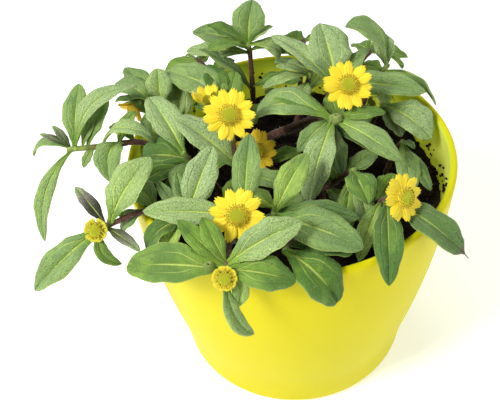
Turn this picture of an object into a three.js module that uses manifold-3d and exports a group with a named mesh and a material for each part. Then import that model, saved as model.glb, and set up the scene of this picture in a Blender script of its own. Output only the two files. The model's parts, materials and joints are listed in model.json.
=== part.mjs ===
// A creeping zinnia in a round lime-yellow plastic pot, in millimetres with +Z up.
// The origin is the centre of the pot's flat base. The plant spills over the front and left of the rim.
import * as THREE from "three";
import { mergeVertices } from "three/addons/utils/BufferGeometryUtils.js";
import Module from "manifold-3d";

const wasm = await Module();
wasm.setup();

// Pot
const POT_HEIGHT = 113.5;
const RIM_RADIUS = 70;
const LIP_THICKNESS = 3.2;
const LIP_DROP = 2.5;
const WALL_THICKNESS = 2.6;
const FLOOR_THICKNESS = 3;
const FLOOR_FILLET = 2;
// The inside follows the outer wall, this much lower
const INSIDE_DROP = 4;
const FOOT_RADIUS = 54.7;
const FOOT_FILLET = 3.5;
const WAIST_RADIUS = 56.7;
const WAIST_HEIGHT = 20;
const WALL_BULGE = { radius: 68.4, height: 68 };
const POT_SIDES = 30;
// Steps up the curve of the outer wall, and of the inside
const WALL_STEPS = 6;
const INSIDE_STEPS = 4;

// Soil
const SOIL_HEIGHT = 92;
const SOIL_GAP = 0.3;
// The soil's corners stand off the wall's corners, so that its flats clear by the gap
const SOIL_INSET = 0.9;
const SOIL_EDGE = 65.4;
const SOIL_BASE = 48.5;
const SOIL_LUMP = 1.3;
const SOIL_SIDES = 24;
const SOIL_RINGS = [54, 40, 26, 12];
const SOIL_DIP = { x: 52, y: -3, depth: 7, spread: 11 };
const HOLE_FLOOR = 85.7;
const HOLE_TOP = 112;
const HOLE_CLEARANCE = 1.1;
const HOLE_SIDES = 5;
const STEM_FOOT = 86;

// Stems and leaves
const STEM_RADIUS = 1.2;
const STEM_TAPER = 0.35;
const STEM_SIDES = 5;
const COLLAR_HEIGHTS = [93, 98];
const SPAN_STEP = 0.5;
const BLADE_THICKNESS = 1;
const GROOVE_HEIGHT = 0.3;
const FOLD_ANGLE = 20;
const EDGE_WAVE = 0.35;
// Places along the blade, and the share of the full width there
const LEAF_STATIONS = [0, 0.17, 0.4, 0.64, 0.86];
const LEAF_OUTLINE = [0.17, 0.42, 0.96, 0.98, 0.56];
// A leaf shorter than this has fewer stations
const SMALL_LEAF = 20;
const SMALL_STATIONS = [0, 0.28, 0.74];
const SMALL_OUTLINE = [0.17, 0.74, 0.86];

// Blooms
const PETAL_THICKNESS = 0.7;
const NOTCH_DEPTH = 0.13;
const CUP_HEIGHT = 3.4;
const DISC_HEIGHT = 2.6;
const BLOOM_GAP = 0.3;
const DISC_SIDES = 8;

// Each shoot is a stem with its leaves. Its foot stands in the soil, and its stem's points run up to the tip.
// A leaf is [place, heading, rise, length, width, arch, roll, sideways bend, hook of the tip].
// The place is counted back from the stem's tip, in spans between its points.
// A heading of 0 is +X and 90 is +Y, the rise is above the horizontal, and a roll lifts the right edge.
const SHOOTS = [
  {
    name: "shoot_front_bud",
    foot: [-22, -38],
    stem: [[-23, -54, 117], [-24, -66, 119.5], [-24.5, -71.5, 116.5]],
    leaves: [
      [0.4, 170, -8, 39, 17, 4, 20],
      [0.64, 140, 21, 25, 8, 2, 25],
      [0.8, 124, 36, 19, 8, 2, 15],
      [0.2, -44, -62, 28, 7.5, 3, 0, 6],
      [0.5, -78, -62, 16, 7, 3, 0, -4],
      [0.72, 20, 21, 32, 14, 3, -20],
      [0.48, -9, -6, 26, 14, 3, -25],
    ],
  },
  {
    name: "shoot_front_bloom",
    foot: [-14, -28],
    stem: [[-18, -42, 116], [-20.2, -50, 126.3]],
    leaves: [
      [0.6, 178, 4, 38, 12, 2, 20],
      [0.9, 84, 40, 33, 12, 2],
      [1.3, -30, 4, 20, 10, 1],
    ],
  },
  {
    name: "shoot_front_right",
    foot: [-2, -20],
    stem: [[-6, -37, 115], [-7, -46, 121]],
    leaves: [
      [0.15, 58, 26, 28, 12, 2, -10],
      [0.09, -27, -1, 37, 17, 3, -20],
      [0.6, -11, 4, 33, 10, 3, -20],
      [1.4, 42, 0, 18, 10, 1],
      [1.2, 150, 6, 18, 10, 1],
    ],
  },
  {
    name: "shoot_low_front",
    foot: [6, -38],
    stem: [[0, -53, 114], [-3, -60, 116.5]],
    leaves: [
      [0.09, -38, -29, 27, 18, 6, -10, 0, 0.1],
      [0.6, -10, -2, 24, 11, 2],
      [0.9, 170, 4, 15, 9, 1],
    ],
  },
  {
    name: "shoot_low_left",
    foot: [-34, -22],
    stem: [[-38, -37, 113], [-41, -45, 119]],
    leaves: [
      [0.15, 63, 38, 30, 14, 2, -15],
      [0.3, 107, 35, 19, 7, 1],
      [0.36, 135, 24, 20, 6, 1, 40],
      [0.15, -155, -27, 20, 11, 4],
      [0.24, -130, -34, 17, 9, 3],
      [0.9, 165, 6, 15, 9, 2],
    ],
  },
  {
    name: "shoot_left_bud",
    foot: [-42, -20],
    stem: [[-57, -38, 117], [-67, -44, 118], [-74.9, -46, 115.5]],
    leaves: [
      [0.1, -149, -29, 36, 15, 2, 10],
      [0.2, -54, -40, 16, 6, 1, 0, 5],
      [0.32, -40, -1, 20, 5.5, 1],
      [0.4, 133, 21, 21, 6.5, 1],
      [0.56, 55, 28, 31, 17, 3],
      [0.5, -175, 0, 8, 4, 0],
      [1.2, 133, 20, 11, 6, 1],
      [2, -161, -40, 14, 10, 3],
      [2.2, 137, 32, 15, 11, 2],
    ],
  },
  {
    name: "shoot_left_long",
    foot: [-44, 2],
    stem: [[-61, 2, 117], [-78, -1, 119], [-94, -5, 121]],
    leaves: [
      [0.12, 172, -17, 19, 7, 6],
      [0.12, 162, 20, 15, 4, 1],
      [0.12, 138, 33, 13, 4, 1],
      [0.2, 44, 20, 38, 11, 8, 0, -3],
      [0.2, 88, 33, 29, 12, 2],
      [0.52, 70, 25, 24, 9, 2],
      [0.16, -116, -43, 41, 9, 4, 0, 4],
      [0.7, -121, -30, 10, 5, 1],
      [0.95, -109, -26, 10, 5, 1],
      [0.88, -11, 12, 25, 9, 9, 0, 0, 0.15],
      [0.38, 66, 30, 15, 5, 1],
      [1.4, -106, -24, 18, 13, 9],
      [1.3, 59, 31, 16, 8, 2],
      [1.7, 136, -3, 17, 9, 3],
      [2.2, 106, 28, 18, 10, 2],
    ],
  },
  {
    name: "shoot_back_left",
    foot: [-44, 26],
    stem: [[-56, 26, 116], [-65.5, 24, 123.5]],
    leaves: [
      [0.75, 130, 15, 27, 12, 2],
      [0.9, 98, 46, 18, 13, 2],
      [0.5, 150, 14, 20, 13, 3],
      [1.2, 170, 6, 24, 11, 2],
      [1.3, -60, 4, 18, 10, 1],
      [1.6, 108, 52, 28, 13, 2],
      [1.4, 88, 30, 19, 11, 2],
      [0.9, -176, 16, 21, 12, 2, -25],
    ],
  },
  {
    name: "shoot_left_inner",
    foot: [-32, -6],
    stem: [[-40, -11, 116], [-44, -12, 124]],
    leaves: [
      [0.15, 123, 21, 31, 15, 3],
      [0.6, 163, -10, 22, 17, 3, 25],
      [0.8, -100, 6, 22, 12, 2],
      [1, -160, 10, 20, 10, 1],
      [1.6, -147, 8, 24, 12, 1],
      [1.1, -147, -4, 36, 12, 7],
      [1.3, 30, 6, 18, 10, 1],
    ],
  },
  {
    name: "shoot_yellow_green",
    foot: [-22, 30],
    stem: [[-25, 30, 113], [-34, 14, 124.5]],
    leaves: [
      [0.45, 137, 14, 27, 14, 2],
      [1, 162, 23, 34, 18, 6, 15, 0, 0.1],
      [0.7, 122, 32, 22, 13, 2],
      [0.75, 74, 45, 16, 11, 1],
      [1.2, 175, 8, 20, 12, 1],
      [1.4, 10, 4, 18, 10, 1],
    ],
  },
  {
    name: "shoot_middle_bloom",
    foot: [-17, -7],
    stem: [[-22, -12, 116], [-24, -6.5, 138]],
    leaves: [
      [1.1, 156, 34, 34, 16, 3, 10],
      [1.3, -30, 8, 24, 12, 1],
      [1.4, -110, 4, 18, 10, 1],
    ],
  },
  {
    name: "shoot_back_tall",
    foot: [-17, 46],
    stem: [[-17.6, 54, 122], [-18.4, 57, 130]],
    leaves: [
      [0.12, 75, 60, 20, 17, 2],
      [0.15, 169, 24, 21, 11, 1],
      [0.21, 158, 2, 29, 12, 2, 15],
      [0.21, -8, -38, 15, 12, 6, 0, 0, 0.3],
      [0.15, 14, 32, 14, 7, 1],
      [0.6, 25, -9, 22, 9, 1],
      [0.75, 176, 1, 30, 10, 2, 20],
      [0.54, -153, 18, 22, 10, 3],
      [1.5, -8, 12, 24, 12, 2],
      [1.6, 177, 46, 34, 9, 3],
    ],
  },
  {
    name: "shoot_back_young",
    foot: [3, 36],
    stem: [[8, 38, 117], [10, 38, 126]],
    leaves: [
      [0.21, -153, 3, 24, 7, 2],
      [0.15, -170, 22, 17, 6, 1],
      [0.15, -156, 43, 15, 6, 1],
      [0.3, 150, 10, 18, 8, 1],
      [0.7, -110, -4, 17, 9, 1],
      [1.2, 52, 18, 22, 11, 1],
      [1.6, 145, 10, 20, 10, 1],
    ],
  },
  {
    name: "shoot_back_bloom",
    foot: [13, 25],
    stem: [[16, 29, 115], [21, 29, 127], [23.5, 11, 137.6]],
    leaves: [
      [1.12, 110, 45, 27, 20, 3],
      [1.28, 138, 16, 38, 11, 3],
      [1.28, 29, 35, 22, 10, 1],
      [1.2, -15, 3, 40, 13, 3, -20],
      [1.6, -80, -4, 18, 10, 1],
      [2.5, -77, -4, 34, 13, 2],
    ],
  },
  {
    name: "shoot_woody",
    radius: 1.9,
    foot: [-9, 27],
    stem: [[2, 19, 110], [11, 11, 121], [19, -2, 131]],
    leaves: [
      [0.2, 161, -17, 35, 21, 9, 0, 0, 0.2],
      [0.14, 146, -2, 34, 12, 3],
      [0.16, 6, 3, 22, 9, 1],
      [0.12, -36, -12, 33, 12, 3, -10],
      [0.6, -31, -9, 34, 9, 2, -30],
      [0.24, -138, -18, 20, 9, 2, 10],
      [0.12, -112, -34, 36, 14, 4],
      [0.16, -94, -37, 17, 7, 1],
    ],
    bud: 2.6,
  },
  {
    name: "shoot_back_right",
    foot: [31, 35],
    stem: [[38, 40, 117], [45, 42, 126]],
    leaves: [
      [0.15, 174, 47, 28, 18, 6, 0, 0, 0.2],
      [0.15, 103, 45, 16, 10, 2],
      [0.36, -44, -8, 30, 9, 4, 60],
      [0.6, -79, -37, 16, 7, 1],
    ],
  },
  {
    name: "shoot_right",
    foot: [34, 18],
    stem: [[38, 22, 112], [42, 24, 118]],
    leaves: [
      [0.15, -38, -17, 26, 20, 3],
      [0.3, -62, -18, 17, 9, 1],
      [0.9, -150, 0, 18, 10, 1],
    ],
  },
  {
    name: "shoot_right_low",
    foot: [42, 2],
    stem: [[46, 6, 107], [49, 7, 111]],
    leaves: [
      [0.15, -57, 12, 8, 4, 1],
      [0.21, -85, -16, 25, 11, 1],
      [0.6, -64, -13, 26, 8, 1],
    ],
  },
  {
    name: "shoot_right_bloom",
    foot: [28, -22],
    stem: [[36, -33, 115], [39.5, -41.5, 125.3]],
    leaves: [
      [0.7, -33, -21, 38, 14, 4, -10],
      [0.8, -93, -14, 37, 12, 4],
      [1.1, -112, -14, 28, 9, 3],
      [1.3, 60, 4, 18, 9, 1],
    ],
  },
  {
    name: "shoot_middle_right",
    foot: [14, -10],
    stem: [[22, -15, 112], [26, -17, 117]],
    leaves: [
      [0.3, -75, 0, 20, 13, 2],
      [0.15, -74, -16, 16, 8, 1, 40],
      [0.15, -77, -24, 34, 9, 2],
      [0.3, -99, -22, 31, 9, 1],
      [0.9, 40, 4, 18, 10, 1],
      [1.2, 150, 4, 18, 10, 1],
      [1.8, -60, 14, 26, 11, 1],
      [1.5, 132, 34, 22, 14, 2],
    ],
  },
  {
    name: "shoot_low_bloom",
    foot: [-6, 2],
    stem: [[-11, 2, 104], [-15.5, 0.8, 111.5]],
    leaves: [
      [1, 20, 6, 17, 9, 1],
    ],
  },
];

// Shoots at the back, all alike: they lean out over the rim, and their leaves stand in pairs
const REAR_AZIMUTHS = [58, 84, 126];
const REAR_FOOT = 45;
const REAR_STEM = [[58, 116], [72, 119], [80, 115]];
const REAR_PAIRS = [
  { place: 1.8, spread: 80, rise: 8, length: 15, width: 9 },
  { place: 1, spread: 60, rise: -16, length: 17, width: 10 },
  { place: 0.2, spread: 38, rise: -38, length: 22, width: 12 },
];
const REAR_SWAY = 5;

// Each bloom sits on the tip of its shoot and faces [heading, rise]. Tilt lifts or drops the petals.
const BLOOMS = [
  { name: "bloom_middle", shoot: "shoot_middle_bloom", facing: [-86, 46],
    radius: 11, disc: 3.8, petals: 13, tilt: 0.08 },
  { name: "bloom_back", shoot: "shoot_back_bloom", facing: [-80, 48],
    radius: 10.8, disc: 3.7, petals: 13, tilt: 0.06 },
  { name: "bloom_front", shoot: "shoot_front_bloom", facing: [-88, 44],
    radius: 10.9, disc: 3.7, petals: 13, tilt: 0.05 },
  { name: "bloom_right", shoot: "shoot_right_bloom", facing: [-44, 33],
    radius: 9.7, disc: 3.5, petals: 12, tilt: 0.02 },
  { name: "bloom_low", shoot: "shoot_low_bloom", facing: [-70, 50],
    radius: 9.8, disc: 3.2, petals: 11, tilt: 0.1 },
  { name: "bloom_opening", shoot: "shoot_yellow_green", facing: [120, 66],
    radius: 6.4, disc: 2.6, petals: 9, tilt: 0.8 },
  { name: "bloom_fading", shoot: "shoot_back_left", facing: [-140, -30],
    radius: 4.8, disc: 1.9, petals: 6, tilt: 1 },
  { name: "bud_left", shoot: "shoot_left_bud", facing: [-95, 42],
    radius: 4.4, disc: 3, petals: 10, tilt: 0.5 },
  { name: "bud_front", shoot: "shoot_front_bud", facing: [-88, 42],
    radius: 4.3, disc: 2.9, petals: 10, tilt: 0.5 },
];

const materials = {
  pot: new THREE.MeshStandardMaterial({ color: 0xe3dc3c, roughness: 0.35 }),
  soil: new THREE.MeshStandardMaterial({ color: 0x2b221c, roughness: 0.95 }),
  leaf: new THREE.MeshStandardMaterial({ color: 0x5f8a4a, roughness: 0.7 }),
  petal: new THREE.MeshStandardMaterial({ color: 0xf4de3a, roughness: 0.6 }),
  disc: new THREE.MeshStandardMaterial({ color: 0xb6b53c, roughness: 0.8 }),
};

const radians = THREE.MathUtils.degToRad;
const vector = (values) => new THREE.Vector3(...values);

// The unit vector at a heading from +X and a rise above the horizontal
function direction(heading, rise) {
  const level = Math.cos(radians(rise));
  const x = level * Math.cos(radians(heading));
  const y = level * Math.sin(radians(heading));
  return new THREE.Vector3(x, y, Math.sin(radians(rise)));
}

// A closed geometry as a solid, with its shared vertices merged and flat triangles dropped
function solid(geometry) {
  const bare = geometry.clone();
  bare.deleteAttribute("normal");
  bare.deleteAttribute("uv");
  const merged = mergeVertices(bare, 1e-4);
  const corners = merged.index.array;
  const kept = [];
  for (let i = 0; i < corners.length; i += 3) {
    const [a, b, c] = [corners[i], corners[i + 1], corners[i + 2]];
    if (a !== b && b !== c && c !== a) kept.push(a, b, c);
  }
  const vertProperties = new Float32Array(merged.attributes.position.array);
  const mesh = new wasm.Mesh({ numProp: 3, vertProperties, triVerts: new Uint32Array(kept) });
  return new wasm.Manifold(mesh);
}

// A named mesh of a solid, placed at its anchor point
function meshOf(name, body, material, anchor = new THREE.Vector3()) {
  const { vertProperties, triVerts } = body.getMesh();
  const geometry = new THREE.BufferGeometry();
  geometry.setAttribute("position", new THREE.BufferAttribute(vertProperties, 3));
  geometry.setIndex(new THREE.BufferAttribute(triVerts, 1));
  geometry.translate(-anchor.x, -anchor.y, -anchor.z);
  geometry.computeVertexNormals();
  const mesh = new THREE.Mesh(geometry, material);
  mesh.name = name;
  mesh.position.copy(anchor);
  return mesh;
}

// A profile of [radius, height] turned about the upright axis
function turned(profile, sides) {
  const points = profile.map(([radius, height]) => new THREE.Vector2(radius, height));
  return new THREE.LatheGeometry(points, sides).rotateX(Math.PI / 2);
}

// The pot's outer wall from waist to rim, bulging a little outwards
const potWall = new THREE.QuadraticBezierCurve(
  new THREE.Vector2(WAIST_RADIUS, WAIST_HEIGHT),
  new THREE.Vector2(WALL_BULGE.radius, WALL_BULGE.height),
  new THREE.Vector2(RIM_RADIUS, POT_HEIGHT - LIP_DROP),
);

function potWallPoints(count) {
  return potWall.getPoints(count).map((point) => [point.x, point.y]);
}

function potProfile() {
  const rimInner = RIM_RADIUS - LIP_THICKNESS;
  const footEdge = FOOT_RADIUS - FOOT_FILLET;
  const fillet = [0.3, 1].map((share) => [
    footEdge + FOOT_FILLET * Math.sin(share * Math.PI / 2),
    FOOT_FILLET * (1 - Math.cos(share * Math.PI / 2)),
  ]);
  const lip = [
    [RIM_RADIUS - 0.4, POT_HEIGHT - 1],
    [RIM_RADIUS - 1.4, POT_HEIGHT],
    [rimInner + 0.6, POT_HEIGHT],
    [rimInner, POT_HEIGHT - 0.6],
  ];
  const inside = potWallPoints(INSIDE_STEPS).reverse()
    .map(([radius, height]) => [radius - WALL_THICKNESS, height - INSIDE_DROP]);
  const floorEdge = FOOT_RADIUS - WALL_THICKNESS - 1;
  return [
    [0, 0], [footEdge, 0], ...fillet, ...potWallPoints(WALL_STEPS), ...lip, ...inside,
    [floorEdge, FLOOR_THICKNESS + FLOOR_FILLET], [floorEdge - FLOOR_FILLET, FLOOR_THICKNESS],
    [0, FLOOR_THICKNESS],
  ];
}

// Height of the soil's uneven top
function soilTop(x, y) {
  const lumps = Math.sin(0.21 * x + 1.3) * Math.cos(0.17 * y - 0.4) + 0.5 * Math.sin(0.47 * x - 0.39 * y);
  const away = ((x - SOIL_DIP.x) ** 2 + (y - SOIL_DIP.y) ** 2) / (2 * SOIL_DIP.spread ** 2);
  return SOIL_HEIGHT + SOIL_LUMP * lumps - SOIL_DIP.depth * Math.exp(-away);
}

function soilBody(feet) {
  const side = potWallPoints(INSIDE_STEPS).slice(0, -1).map(([radius, height]) => [
    radius - WALL_THICKNESS - SOIL_INSET,
    height - INSIDE_DROP,
  ]);
  const base = FLOOR_THICKNESS + SOIL_GAP;
  const geometry = turned([
    [0, base], [SOIL_BASE, base], ...side, [SOIL_EDGE, SOIL_HEIGHT],
    ...SOIL_RINGS.map((radius) => [radius, SOIL_HEIGHT]), [0, SOIL_HEIGHT],
  ], SOIL_SIDES);
  const position = geometry.attributes.position;
  for (let i = 0; i < position.count; i += 1) {
    if (position.getZ(i) > SOIL_HEIGHT - 1e-3) {
      position.setZ(i, soilTop(position.getX(i), position.getY(i)));
    }
  }
  const holes = feet.map(({ foot, radius }) => {
    const depth = HOLE_TOP - HOLE_FLOOR;
    const reach = radius + HOLE_CLEARANCE;
    const hole = new THREE.CylinderGeometry(reach, reach, depth, HOLE_SIDES);
    hole.rotateX(Math.PI / 2).translate(foot.x, foot.y, HOLE_FLOOR + depth / 2);
    return solid(hole);
  });
  return solid(geometry).subtract(wasm.Manifold.union(holes));
}

// The stem's curve runs straight up out of the soil, and then through its own points
function stemCurve({ foot, stem }) {
  const points = [STEM_FOOT, ...COLLAR_HEIGHTS].map((height) => [...foot, height]);
  return new THREE.CatmullRomCurve3([...points, ...stem].map(vector), false, "catmullrom", 0.5);
}

// The share of the curve at a place counted back from its tip, in spans between its points
function shareAt(curve, place) {
  return 1 - place / (curve.points.length - 1);
}

// Rings of corners joined into a closed tube
function loft(rings) {
  const sides = rings[0].length;
  const faces = [];
  for (let i = 0; i < rings.length - 1; i += 1) {
    for (let j = 0; j < sides; j += 1) {
      const [a, b] = [i * sides + j, i * sides + (j + 1) % sides];
      faces.push([a, b, b + sides], [a, b + sides, a + sides]);
    }
  }
  const last = (rings.length - 1) * sides;
  for (let j = 1; j < sides - 1; j += 1) {
    faces.push([0, j + 1, j], [last, last + j, last + j + 1]);
  }
  const geometry = new THREE.BufferGeometry().setFromPoints(rings.flat());
  geometry.setIndex(faces.flat());
  return geometry;
}

function stemGeometry(curve, radius) {
  const spans = curve.points.length - 1;
  const places = [spans];
  for (let place = spans - COLLAR_HEIGHTS.length; place >= 0; place -= SPAN_STEP) places.push(place);
  const lean = curve.points.at(-1).clone().sub(curve.points[0]).setZ(0);
  const side = new THREE.Vector3(lean.y, -lean.x, 0).normalize();
  const rings = places.map((place) => {
    const share = shareAt(curve, place);
    const centre = curve.getPoint(share);
    const forward = curve.getTangent(share);
    const across = side.clone().addScaledVector(forward, -side.dot(forward)).normalize();
    const up = new THREE.Vector3().crossVectors(across, forward);
    const reach = radius * (1 + STEM_TAPER * (0.5 - share));
    return Array.from({ length: STEM_SIDES }, (_, i) => {
      const angle = (-2 * Math.PI * i) / STEM_SIDES;
      const sideways = centre.clone().addScaledVector(across, reach * Math.cos(angle));
      return sideways.addScaledVector(up, reach * Math.sin(angle));
    });
  });
  return loft(rings);
}

// The corners of one station across a blade: left edge, groove, right edge and keel
function bladeStation(midrib, place, right, halfWidth, wave) {
  const centre = midrib.getPoint(place);
  const forward = midrib.getTangent(place);
  const across = right.clone().addScaledVector(forward, -right.dot(forward)).normalize();
  const up = new THREE.Vector3().crossVectors(across, forward);
  const reach = halfWidth * Math.cos(radians(FOLD_ANGLE));
  const lift = halfWidth * Math.sin(radians(FOLD_ANGLE));
  const corner = (sideways, height) => {
    return centre.clone().addScaledVector(across, sideways).addScaledVector(up, height);
  };
  return [
    corner(-reach, lift + wave),
    corner(0, GROOVE_HEIGHT),
    corner(reach, lift - wave),
    corner(0, GROOVE_HEIGHT - BLADE_THICKNESS),
  ];
}

// A leaf's midrib is a curve from the stem to the tip, arched upwards and bent sideways
function leafMidrib(root, forward, right, up, length, arch, bend, hook) {
  const bow = up.clone().multiplyScalar(arch * 4 / 3).addScaledVector(right, bend * 4 / 3);
  const near = root.clone().addScaledVector(forward, length / 3).add(bow);
  const far = root.clone().addScaledVector(forward, length * (2 / 3 + hook)).add(bow);
  return new THREE.CubicBezierCurve3(root, near, far, root.clone().addScaledVector(forward, length));
}

function leafGeometry(root, leaf) {
  const [, heading, rise, length, width, arch = 1, roll = 0, bend = 0, hook = 0] = leaf;
  const forward = direction(heading, rise);
  const right = direction(heading - 90, 0).applyAxisAngle(forward, radians(-roll));
  const up = new THREE.Vector3().crossVectors(right, forward);
  const midrib = leafMidrib(root, forward, right, up, length, arch, bend, hook);
  const corners = [];
  const [stations, outline] = length < SMALL_LEAF
    ? [SMALL_STATIONS, SMALL_OUTLINE]
    : [LEAF_STATIONS, LEAF_OUTLINE];
  stations.forEach((place, i) => {
    const wave = i > 1 ? EDGE_WAVE * (-1) ** i : 0;
    corners.push(...bladeStation(midrib, place, right, width / 2 * outline[i], wave));
  });
  const tip = corners.length;
  corners.push(midrib.getPoint(1));
  // Both faces of the blade are split from its edges to the midrib, so that they stay alike
  const faces = [[0, 3, 1], [1, 3, 2]];
  for (let a = 0; a < tip - 4; a += 4) {
    const b = a + 4;
    faces.push([a, a + 1, b + 1], [a, b + 1, b], [a + 1, a + 2, b + 1], [a + 2, b + 2, b + 1]);
    faces.push([a + 2, a + 3, b + 3], [a + 2, b + 3, b + 2], [a + 3, a, b + 3], [a, b, b + 3]);
  }
  const last = tip - 4;
  faces.push([last, last + 1, tip], [last + 1, last + 2, tip]);
  faces.push([last + 2, last + 3, tip], [last + 3, last, tip]);
  const geometry = new THREE.BufferGeometry().setFromPoints(corners);
  geometry.setIndex(faces.flat());
  return geometry;
}

// Where a bloom stands, from the tip of its shoot and the way it faces
function bloomPlace(bloom, tip) {
  const facing = direction(...bloom.facing);
  const turn = new THREE.Quaternion().setFromUnitVectors(new THREE.Vector3(0, 0, 1), facing);
  return { position: tip.clone().addScaledVector(facing, CUP_HEIGHT), turn };
}

// The green cup under a bloom, widening from the stem to the petals
function cupGeometry(disc, place) {
  const top = -BLOOM_GAP;
  const cup = turned([
    [0, -CUP_HEIGHT - 0.8], [1.1, -CUP_HEIGHT - 0.6], [disc * 0.85, -CUP_HEIGHT * 0.5], [disc, top], [0, top],
  ], DISC_SIDES);
  return cup.applyQuaternion(place.turn).translate(...place.position);
}

// A plate of notched petals. Its places are the corners of one petal, from its left root round,
// each as a distance from the middle and a share of the petal's width.
function petalGeometry({ radius, disc, petals, tilt }) {
  const reach = radius - disc;
  const places = [
    [disc, -0.5], [disc + 0.4 * reach, -0.45], [disc + 0.92 * reach, -0.3],
    [radius - NOTCH_DEPTH * reach, -0.02], [radius, 0.24], [disc + 0.46 * reach, 0.42],
  ];
  const corners = [new THREE.Vector3(0, 0, 0)];
  for (let i = 0; i < petals; i += 1) {
    places.forEach(([distance, share]) => {
      const angle = (2 * Math.PI * (i + share)) / petals;
      const lift = tilt * (distance - disc) * (1 + distance / radius);
      corners.push(new THREE.Vector3(distance * Math.cos(angle), distance * Math.sin(angle), lift));
    });
  }
  const [top, bottom] = [corners.length, 0];
  corners.push(...corners.map((corner) => corner.clone().setZ(corner.z + PETAL_THICKNESS)));
  const faces = [];
  for (let i = 0; i < petals; i += 1) {
    const [root, left, leftTip, notch, rightTip, right] = places.map((_, j) => 1 + 6 * i + j);
    const next = 1 + 6 * ((i + 1) % petals);
    const upper = [
      [0, root, next], [root, left, right], [root, right, next],
      [left, leftTip, notch], [left, notch, right], [notch, rightTip, right],
    ];
    upper.forEach(([a, b, c]) => {
      faces.push([top + a, top + b, top + c], [bottom + a, bottom + c, bottom + b]);
    });
    const edge = [root, left, leftTip, notch, rightTip, right, next];
    edge.slice(1).forEach((corner, j) => {
      faces.push([edge[j], corner, top + corner], [edge[j], top + corner, top + edge[j]]);
    });
  }
  const geometry = new THREE.BufferGeometry().setFromPoints(corners);
  geometry.setIndex(faces.flat());
  return geometry;
}

// The domed middle of a bloom, which sits on the petals
function discGeometry({ disc }) {
  const seat = PETAL_THICKNESS + BLOOM_GAP;
  return turned([
    [0, seat], [disc * 0.92, seat], [disc * 0.9, seat + DISC_HEIGHT * 0.45],
    [disc * 0.5, seat + DISC_HEIGHT * 0.9], [0, seat + DISC_HEIGHT],
  ], DISC_SIDES);
}

function bloomGroup(bloom, place) {
  const group = new THREE.Group();
  group.position.copy(place.position);
  group.quaternion.copy(place.turn);
  group.add(meshOf(`${bloom.name}_petals`, solid(petalGeometry(bloom)), materials.petal));
  group.add(meshOf(`${bloom.name}_disc`, solid(discGeometry(bloom)), materials.disc));
  return group;
}

// A shoot that leans out over the back of the rim
function rearShoot(azimuth, index) {
  const out = direction(azimuth, 0);
  const foot = [REAR_FOOT * out.x, REAR_FOOT * out.y];
  const stem = REAR_STEM.map(([radius, height]) => [radius * out.x, radius * out.y, height]);
  const leaves = [];
  REAR_PAIRS.forEach((pair, i) => {
    [-1, 1].forEach((side) => {
      const sway = REAR_SWAY * Math.sin(7 * index + 3 * i + 2 * side);
      const heading = azimuth + side * pair.spread + sway;
      leaves.push([pair.place, heading, pair.rise + sway, pair.length + sway / 2, pair.width, 2]);
    });
  });
  return { name: `shoot_rear_${index + 1}`, foot, stem, leaves };
}

// One shoot as one body: its stem, its leaves, and the cup or bud at its tip
function shootBody(shoot, bloom) {
  const curve = stemCurve(shoot);
  const tip = curve.getPoint(1);
  const pieces = [solid(stemGeometry(curve, shoot.radius ?? STEM_RADIUS))];
  shoot.leaves.forEach((leaf) => {
    pieces.push(solid(leafGeometry(curve.getPoint(shareAt(curve, leaf[0])), leaf)));
  });
  if (bloom) pieces.push(solid(cupGeometry(bloom.disc, bloomPlace(bloom, tip))));
  if (shoot.bud) pieces.push(solid(new THREE.SphereGeometry(shoot.bud, 8, 6).translate(...tip)));
  return wasm.Manifold.union(pieces);
}

const group = new THREE.Group();
const shoots = [...SHOOTS, ...REAR_AZIMUTHS.map(rearShoot)];
const footOf = (shoot) => vector([...shoot.foot, STEM_FOOT]);
const feet = shoots.map((shoot) => ({ foot: footOf(shoot), radius: shoot.radius ?? STEM_RADIUS }));
group.add(meshOf("pot", solid(turned(potProfile(), POT_SIDES)), materials.pot));
group.add(meshOf("soil", soilBody(feet), materials.soil));
shoots.forEach((shoot) => {
  const bloom = BLOOMS.find((candidate) => candidate.shoot === shoot.name);
  group.add(meshOf(shoot.name, shootBody(shoot, bloom), materials.leaf, footOf(shoot)));
  if (bloom) group.add(bloomGroup(bloom, bloomPlace(bloom, vector(shoot.stem.at(-1)))));
});

export default group;
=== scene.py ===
"""A creeping zinnia in a lime-yellow plastic pot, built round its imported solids.

Places and sizes of the plant are in millimetres, as in its source, and meshes are made in metres.
"""
import json
import math
import random

import bmesh
import bpy
from mathutils import Matrix, Vector, noise

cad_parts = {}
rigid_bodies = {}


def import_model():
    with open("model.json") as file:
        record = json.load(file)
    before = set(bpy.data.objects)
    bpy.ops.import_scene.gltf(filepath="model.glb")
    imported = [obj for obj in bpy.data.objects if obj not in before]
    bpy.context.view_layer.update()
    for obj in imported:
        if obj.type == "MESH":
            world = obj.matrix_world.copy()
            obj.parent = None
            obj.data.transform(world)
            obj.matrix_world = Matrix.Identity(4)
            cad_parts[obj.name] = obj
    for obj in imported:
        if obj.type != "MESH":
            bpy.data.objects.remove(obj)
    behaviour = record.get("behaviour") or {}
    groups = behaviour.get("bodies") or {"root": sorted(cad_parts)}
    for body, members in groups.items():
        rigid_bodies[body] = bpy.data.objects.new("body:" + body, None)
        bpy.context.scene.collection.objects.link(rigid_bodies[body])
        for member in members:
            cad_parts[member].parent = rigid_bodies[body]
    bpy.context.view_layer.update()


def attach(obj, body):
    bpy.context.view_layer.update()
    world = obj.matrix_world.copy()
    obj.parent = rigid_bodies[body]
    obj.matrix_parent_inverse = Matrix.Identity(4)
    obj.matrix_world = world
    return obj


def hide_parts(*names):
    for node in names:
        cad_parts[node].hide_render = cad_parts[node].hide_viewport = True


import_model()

bl_info = {
    "name": "Potted creeping zinnia",
    "version": (1, 0, 0),
    "blender": (4, 5, 0),
    "location": "3D View > Sidebar > Zinnia",
    "description": "Builds a potted creeping zinnia with its leaves, blooms, soil and stage",
    "category": "Object",
}

MM = 0.001

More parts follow.
